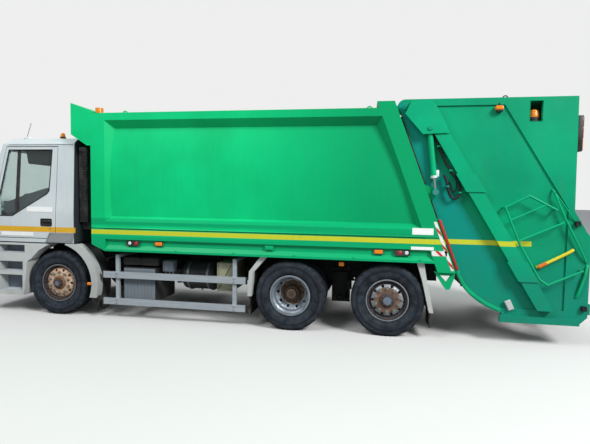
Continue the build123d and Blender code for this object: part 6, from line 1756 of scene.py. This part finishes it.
HOSE_RUN = [
    (2.500, -1.195, 2.83),
    (2.550, -1.200, 2.68),
    (2.640, -1.206, 2.47),
    (2.722, -1.210, 2.345),
    (2.798, -1.212, 2.235),
    (2.862, -1.212, 2.115),
    (2.838, -1.212, 1.985),
    (2.750, -1.212, 1.960),
    (2.700, -1.212, 2.060),
    (2.675, -1.212, 2.200),
    (2.640, -1.210, 2.285),
]
hose = pipe("lift_hose", HOSE_RUN, 0.017)
on_both(hose, "tailgate", hose_rubber)
return_run = [(x, y + 0.030, z + 0.030) for x, y, z in HOSE_RUN[:5]] + [
    (2.818, -1.182, 2.095),
    (2.775, -1.182, 2.050),
    (2.730, -1.182, 2.100),
    (2.715, -1.182, 2.200),
]
return_hose = pipe("return_hose", return_run, 0.008)
on_both(return_hose, "tailgate", hose_rubber)
for count, (x, z) in enumerate(((2.555, 2.672), (2.721, 2.347), (2.851, 2.05), (2.687, 2.13))):
    clamp = block(f"hose_clamp_{count}", (x - 0.023, -1.2310, z - 0.013), (x + 0.023, -1.1440, z + 0.013))
    bevel(clamp, 0.006, 2)
    inset(clamp, facing(y=-1), 0.006, 0.003)
    on_both(clamp, "tailgate", gate_green)

shackle = pipe(
    "lifting_shackle",
    [
        (3.355, -1.150, 3.235),
        (3.350, -1.152, 3.300),
        (3.370, -1.152, 3.340),
        (3.410, -1.152, 3.342),
        (3.430, -1.152, 3.300),
        (3.425, -1.150, 3.235),
    ],
    0.008,
)
on_both(shackle, "tailgate", hose_rubber)
lamp_stalk = rod("gate_lamp_stalk", (3.318, -1.160, 3.245), (3.318, -1.190, 3.200), 0.012, 16)
lamp_foot = block("gate_lamp_foot", (3.278, -1.2105, 3.128), (3.358, -1.1480, 3.156))
bevel(lamp_foot, 0.006, 2)
on_both(joined("gate_lamp_bracket", [lamp_foot, lamp_stalk]), "tailgate", black_plastic)
gate_lamp = block("gate_lamp", (3.262, -1.2180, 3.150), (3.362, -1.1500, 3.206))
bevel(gate_lamp, 0.014, 3)
on_both(gate_lamp, "tailgate", amber_lens)

BEACON_X, BEACON_Y = 3.785, -1.0575
beacon = turned(
    "window_beacon",
    [
        (0.0, 0.0),
        (0.0, 0.062),
        (0.030, 0.064),
        (0.090, 0.062),
        (0.122, 0.052),
        (0.140, 0.030),
        (0.145, 0.0),
    ],
    (BEACON_X, BEACON_Y, 3.031),
    (0, 0, 1),
    36,
)
on_both(beacon, "tailgate", amber_lens)
beacon_base = turned(
    "window_beacon_base",
    [(0.0, 0.0), (0.0, 0.069), (0.066, 0.069), (0.072, 0.060), (0.072, 0.0)],
    (BEACON_X, BEACON_Y, 2.9965),
    (0, 0, 1),
    36,
)
on_both(beacon_base, "tailgate", black_plastic)
window_corners = [(x, -1.1652, z) for x, z in rectangle(3.700, 3.860, 3.000, 3.270)]
window_edge = pipe("beacon_window_edge", window_corners + window_corners[:1], 0.004, soft=False)
on_both(window_edge, "tailgate", gate_green)

# Stays from the rail frame to the hopper's rear corner; the far side has the control box instead
STAY_RUN = [(4.025, -1.148, 2.105), (4.030, -1.212, 2.085), (4.122, -1.214, 1.831), (4.455, -1.210, 1.175)]
stay = pipe("guard_stay", STAY_RUN + [(4.470, -1.168, 1.148)], 0.013)
finished(stay, "tailgate", edge_green)
BRACE_RUN = [(4.034, -1.206, 2.070), (4.290, -1.200, 1.722), (4.312, -1.168, 1.690)]
brace = pipe("guard_brace", BRACE_RUN, 0.008)
finished(brace, "tailgate", edge_green)
upper_rung = rod("guard_upper_rung", (3.490, -1.255, 1.692), (3.934, -1.255, 1.911), 0.012, 16)
on_both(upper_rung, "tailgate", rail_green)

tie_run = [(4.370, -1.168, 0.690), (4.378, -1.198, 0.715), (4.478, -1.198, 1.095), (4.486, -1.168, 1.120)]
corner_tie = pipe("guard_corner_tie", tie_run, 0.017)
on_both(corner_tie, "tailgate", edge_green)
for count, (x, z) in enumerate(((4.335, 1.665), (4.462, 0.545))):
    stop = block(f"corner_buffer_{count}", (x - 0.032, -1.2150, z - 0.034), (x + 0.032, -1.1650, z + 0.034))
    bevel(stop, 0.010, 3)
    inset(stop, facing(y=-1), 0.012, -0.006)
    on_both(stop, "tailgate", hose_rubber)

# Rear lamps: dark boxes with three lenses facing back
LENSES = [
    ("low", 2.625, 2.765, amber_lens),
    ("middle", 2.775, 2.915, red_lens),
    ("top", 2.925, 3.055, red_lens),
]
for spot, z_low, z_high, material in LENSES:
    cell = block(f"rear_lens_{spot}", (4.3545, -1.146, z_low), (4.3685, -1.044, z_high))
    bevel(cell, 0.006, 3)
    inset(cell, facing(x=1), 0.012, 0.0)
    inset(cell, facing(x=1), 0.004, -0.003)
    on_both(cell, "tailgate", material)
lamp_rim = block("rear_lamp_rim", (4.2950, -1.1575, 2.6075), (4.3555, -1.0325, 3.0725))
inset(lamp_rim, facing(x=1), 0.006, 0.002)
bevel(lamp_rim, 0.004, 2)
on_both(lamp_rim, "tailgate", black_plastic)

# Yellow grab bar with its orange sleeve, empty plate holder, work lamp, control box on the far side
grab = pipe(
    "rear_grab_bar",
    [
        (4.30, -1.172, 1.316),
        (4.285, -1.196, 1.306),
        (4.08, -1.200, 1.190),
        (3.885, -1.198, 1.082),
        (3.87, -1.172, 1.072),
    ],
    0.021,
)
on_both(grab, "tailgate", yellow_paint)
sleeve = rod("rear_grab_sleeve", (3.882, -1.199, 1.079), (3.975, -1.200, 1.131), 0.0255, 24)
inset(sleeve, lambda middle, normal: abs(normal.x) > 0.7, 0.004, 0.003)
on_both(sleeve, "tailgate", orange_film)

holder = block("plate_holder", (4.486, -0.29, 0.995), (4.4925, 0.29, 1.125))
bevel(holder, 0.002, 1)
inset(holder, facing(x=1), 0.012, 0.0)
inset(holder, facing(x=1), 0.002, -0.002)
finished(holder, "tailgate", black_plastic)
work_lamp = block("work_lamp", (4.288, -0.09, 3.135), (4.338, 0.09, 3.225))
bevel(work_lamp, 0.010, 3)
inset(work_lamp, facing(x=1), 0.010, 0.0)
inset(work_lamp, facing(x=1), 0.003, -0.008)
finished(work_lamp, "tailgate", black_plastic)
work_lens = block("work_lamp_lens", (4.326, -0.074, 3.151), (4.334, 0.074, 3.209))
bevel(work_lens, 0.004, 2)
finished(work_lens, "tailgate", clear_lens)
control_box = block("control_box", (4.040, 1.1645, 1.52), (4.170, 1.2350, 1.80))
bevel(control_box, 0.008, 3)
inset(control_box, facing(y=1), 0.010, 0.004)
finished(control_box, "tailgate", tank_steel)
BUTTONS = [
    (4.075, 1.74, red_paint),
    (4.135, 1.74, gate_green),
    (4.075, 1.66, black_plastic),
    (4.135, 1.66, black_plastic),
]
BUTTON_PROFILE = [(0.0, 0.0), (0.0, 0.017), (0.006, 0.017), (0.008, 0.012), (0.016, 0.012)]
BUTTON_PROFILE += [(0.018, 0.009), (0.018, 0.0)]
CONTROL_FACE_Y = 1.238
for count, (x, z, material) in enumerate(BUTTONS):
    button = turned(
        f"control_button_{count}",
        BUTTON_PROFILE,
        (x, CONTROL_FACE_Y, z),
        (0, 1, 0),
        20,
    )
    finished(button, "tailgate", material)
stop_button = turned(
    "stop_button",
    [(0.0, 0.0), (0.0, 0.014), (0.012, 0.014), (0.014, 0.024), (0.022, 0.025), (0.027, 0.018), (0.028, 0.0)],
    (4.105, CONTROL_FACE_Y, 1.575),
    (0, 1, 0),
    24,
)
finished(stop_button, "tailgate", red_paint)

# Tailgate back: ribs of the cover, rubber studs, reflectors and hazard tape on the rear beam
for count, y in enumerate((-0.55, 0.0, 0.55)):
    rib = block(f"cover_rib_{count}", (4.2860, y - 0.025, 2.26), (4.3060, y + 0.025, 3.10))
    bevel(rib, 0.006, 2)
    inset(rib, facing(x=1), 0.008, -0.003)
    finished(rib, "tailgate", gate_green)
for count, y in enumerate((-0.95, -0.55, 0.55, 0.95)):
    stud = turned(
        f"beam_stud_{count}",
        [(0.0, 0.0), (0.0, 0.030), (0.012, 0.030), (0.024, 0.022), (0.026, 0.0)],
        (4.6305, y, 1.225),
        (1, 0, 0),
        24,
    )
    finished(stud, "tailgate", hose_rubber)
reflector = block("rear_reflector", (4.5495, -1.145, 0.495), (4.5575, -1.045, 0.565))
bevel(reflector, 0.003, 2)
inset(reflector, facing(x=1), 0.005, 0.001)
on_both(reflector, "tailgate", reflector_red)
beam_tape = block("beam_tape", (4.5500, -0.93, 0.490), (4.5515, -0.55, 0.570))
inset(beam_tape, facing(x=1), 0.002, 0.0004)
on_both(beam_tape, "tailgate", hazard_tape)

# Bin lifter: rubber buffers
for count, y in enumerate((-0.45, 0.45)):
    buffer = block(f"lifter_buffer_{count}", (4.640, y - 0.05, 0.66), (4.672, y + 0.05, 0.78))
    bevel(buffer, 0.010, 3)
    inset(buffer, facing(x=1), 0.014, -0.005)
    finished(buffer, "lifter", mud_rubber)


# Studio: pale floor, soft daylight from above and in front of the near side
floor_material, floor_tree, floor_shader, floor_place = blank("pale studio floor", 0.9)
floor_shader.inputs["Specular IOR Level"].default_value = 0.1
floor_tone = blended(
    floor_tree, noise(floor_tree, floor_place, 3.0), linear("#DADAD8"), linear("#DEDEDC")
)
floor_seen = add(floor_tree, "ShaderNodeLightPath").outputs["Is Camera Ray"]
floor_tree.links.new(
    blended(floor_tree, floor_seen, linear("#8E8E8C"), floor_tone), floor_shader.inputs["Base Color"]
)
bpy.ops.object.select_all(action="DESELECT")
bpy.ops.mesh.primitive_circle_add(vertices=96, radius=120, fill_type="NGON", location=(0, 0, -0.001))
floor = bpy.context.object
floor.name = "studio_floor"
floor.data.materials.append(floor_material)

world = bpy.data.worlds.new("soft daylight")
world.use_nodes = True
bpy.context.scene.world = world
sky_tree = world.node_tree
sky = sky_tree.nodes["Background"]
path = add(sky_tree, "ShaderNodeLightPath").outputs
seen = most(sky_tree, path["Is Camera Ray"], path["Is Transmission Ray"])
sky_tree.links.new(
    blended(sky_tree, seen, linear("#E9EEF4"), linear("#EEEFEE")), sky.inputs["Color"]
)
sky_tree.links.new(ramp(sky_tree, seen, 0.0, 1.0, 0.50, 1.0), sky.inputs["Strength"])


def area_lamp(name, place, aim, size, power):
    """Soft box that faces a point."""
    data = bpy.data.lights.new(name, "AREA")
    data.shape = "SQUARE"
    data.size = size
    data.energy = power
    lamp = bpy.data.objects.new(name, data)
    bpy.context.scene.collection.objects.link(lamp)
    way = Vector(aim) - Vector(place)
    lamp.matrix_world = Matrix.Translation(place) @ way.to_track_quat("-Z", "Y").to_matrix().to_4x4()
    return lamp


area_lamp("key softbox", (12.0, -10.0, 12.0), (0.0, 0.0, 1.2), 5.0, 2900)
area_lamp("fill softbox", (-7.0, -10.0, 13.0), (0.0, 0.0, 1.2), 6.0, 1100)
area_lamp("far softbox", (0.0, 12.0, 10.0), (0.0, 0.0, 1.2), 9.0, 900)

# Camera at the photograph's angle
CAMERA_PLACE = Vector((1.589, -7.266, 1.951))
CAMERA_YAW = math.radians(-9.297)
CAMERA_PITCH = math.radians(-3.294)
CAMERA_ROLL = math.radians(0.887)
FOCAL_PIXELS = 426.0
IMAGE_WIDTH = 590
camera_data = bpy.data.cameras.new("camera")
camera_data.sensor_width = 36.0
camera_data.lens = FOCAL_PIXELS / IMAGE_WIDTH * camera_data.sensor_width
camera_data.clip_end = 500
camera = bpy.data.objects.new("camera", camera_data)
bpy.context.scene.collection.objects.link(camera)
ahead = Vector(
    (
        math.sin(CAMERA_YAW) * math.cos(CAMERA_PITCH),
        math.cos(CAMERA_YAW) * math.cos(CAMERA_PITCH),
        math.sin(CAMERA_PITCH),
    )
)
right = Vector((math.cos(CAMERA_YAW), -math.sin(CAMERA_YAW), 0.0))
above = right.cross(ahead)
rolled = right * math.cos(CAMERA_ROLL) + above * math.sin(CAMERA_ROLL)
upright = rolled.cross(ahead)
turn = Matrix((rolled, upright, -ahead)).transposed()
camera.matrix_world = Matrix.Translation(CAMERA_PLACE) @ turn.to_4x4()
bpy.context.scene.camera = camera
bpy.context.scene.view_settings.view_transform = "Standard"
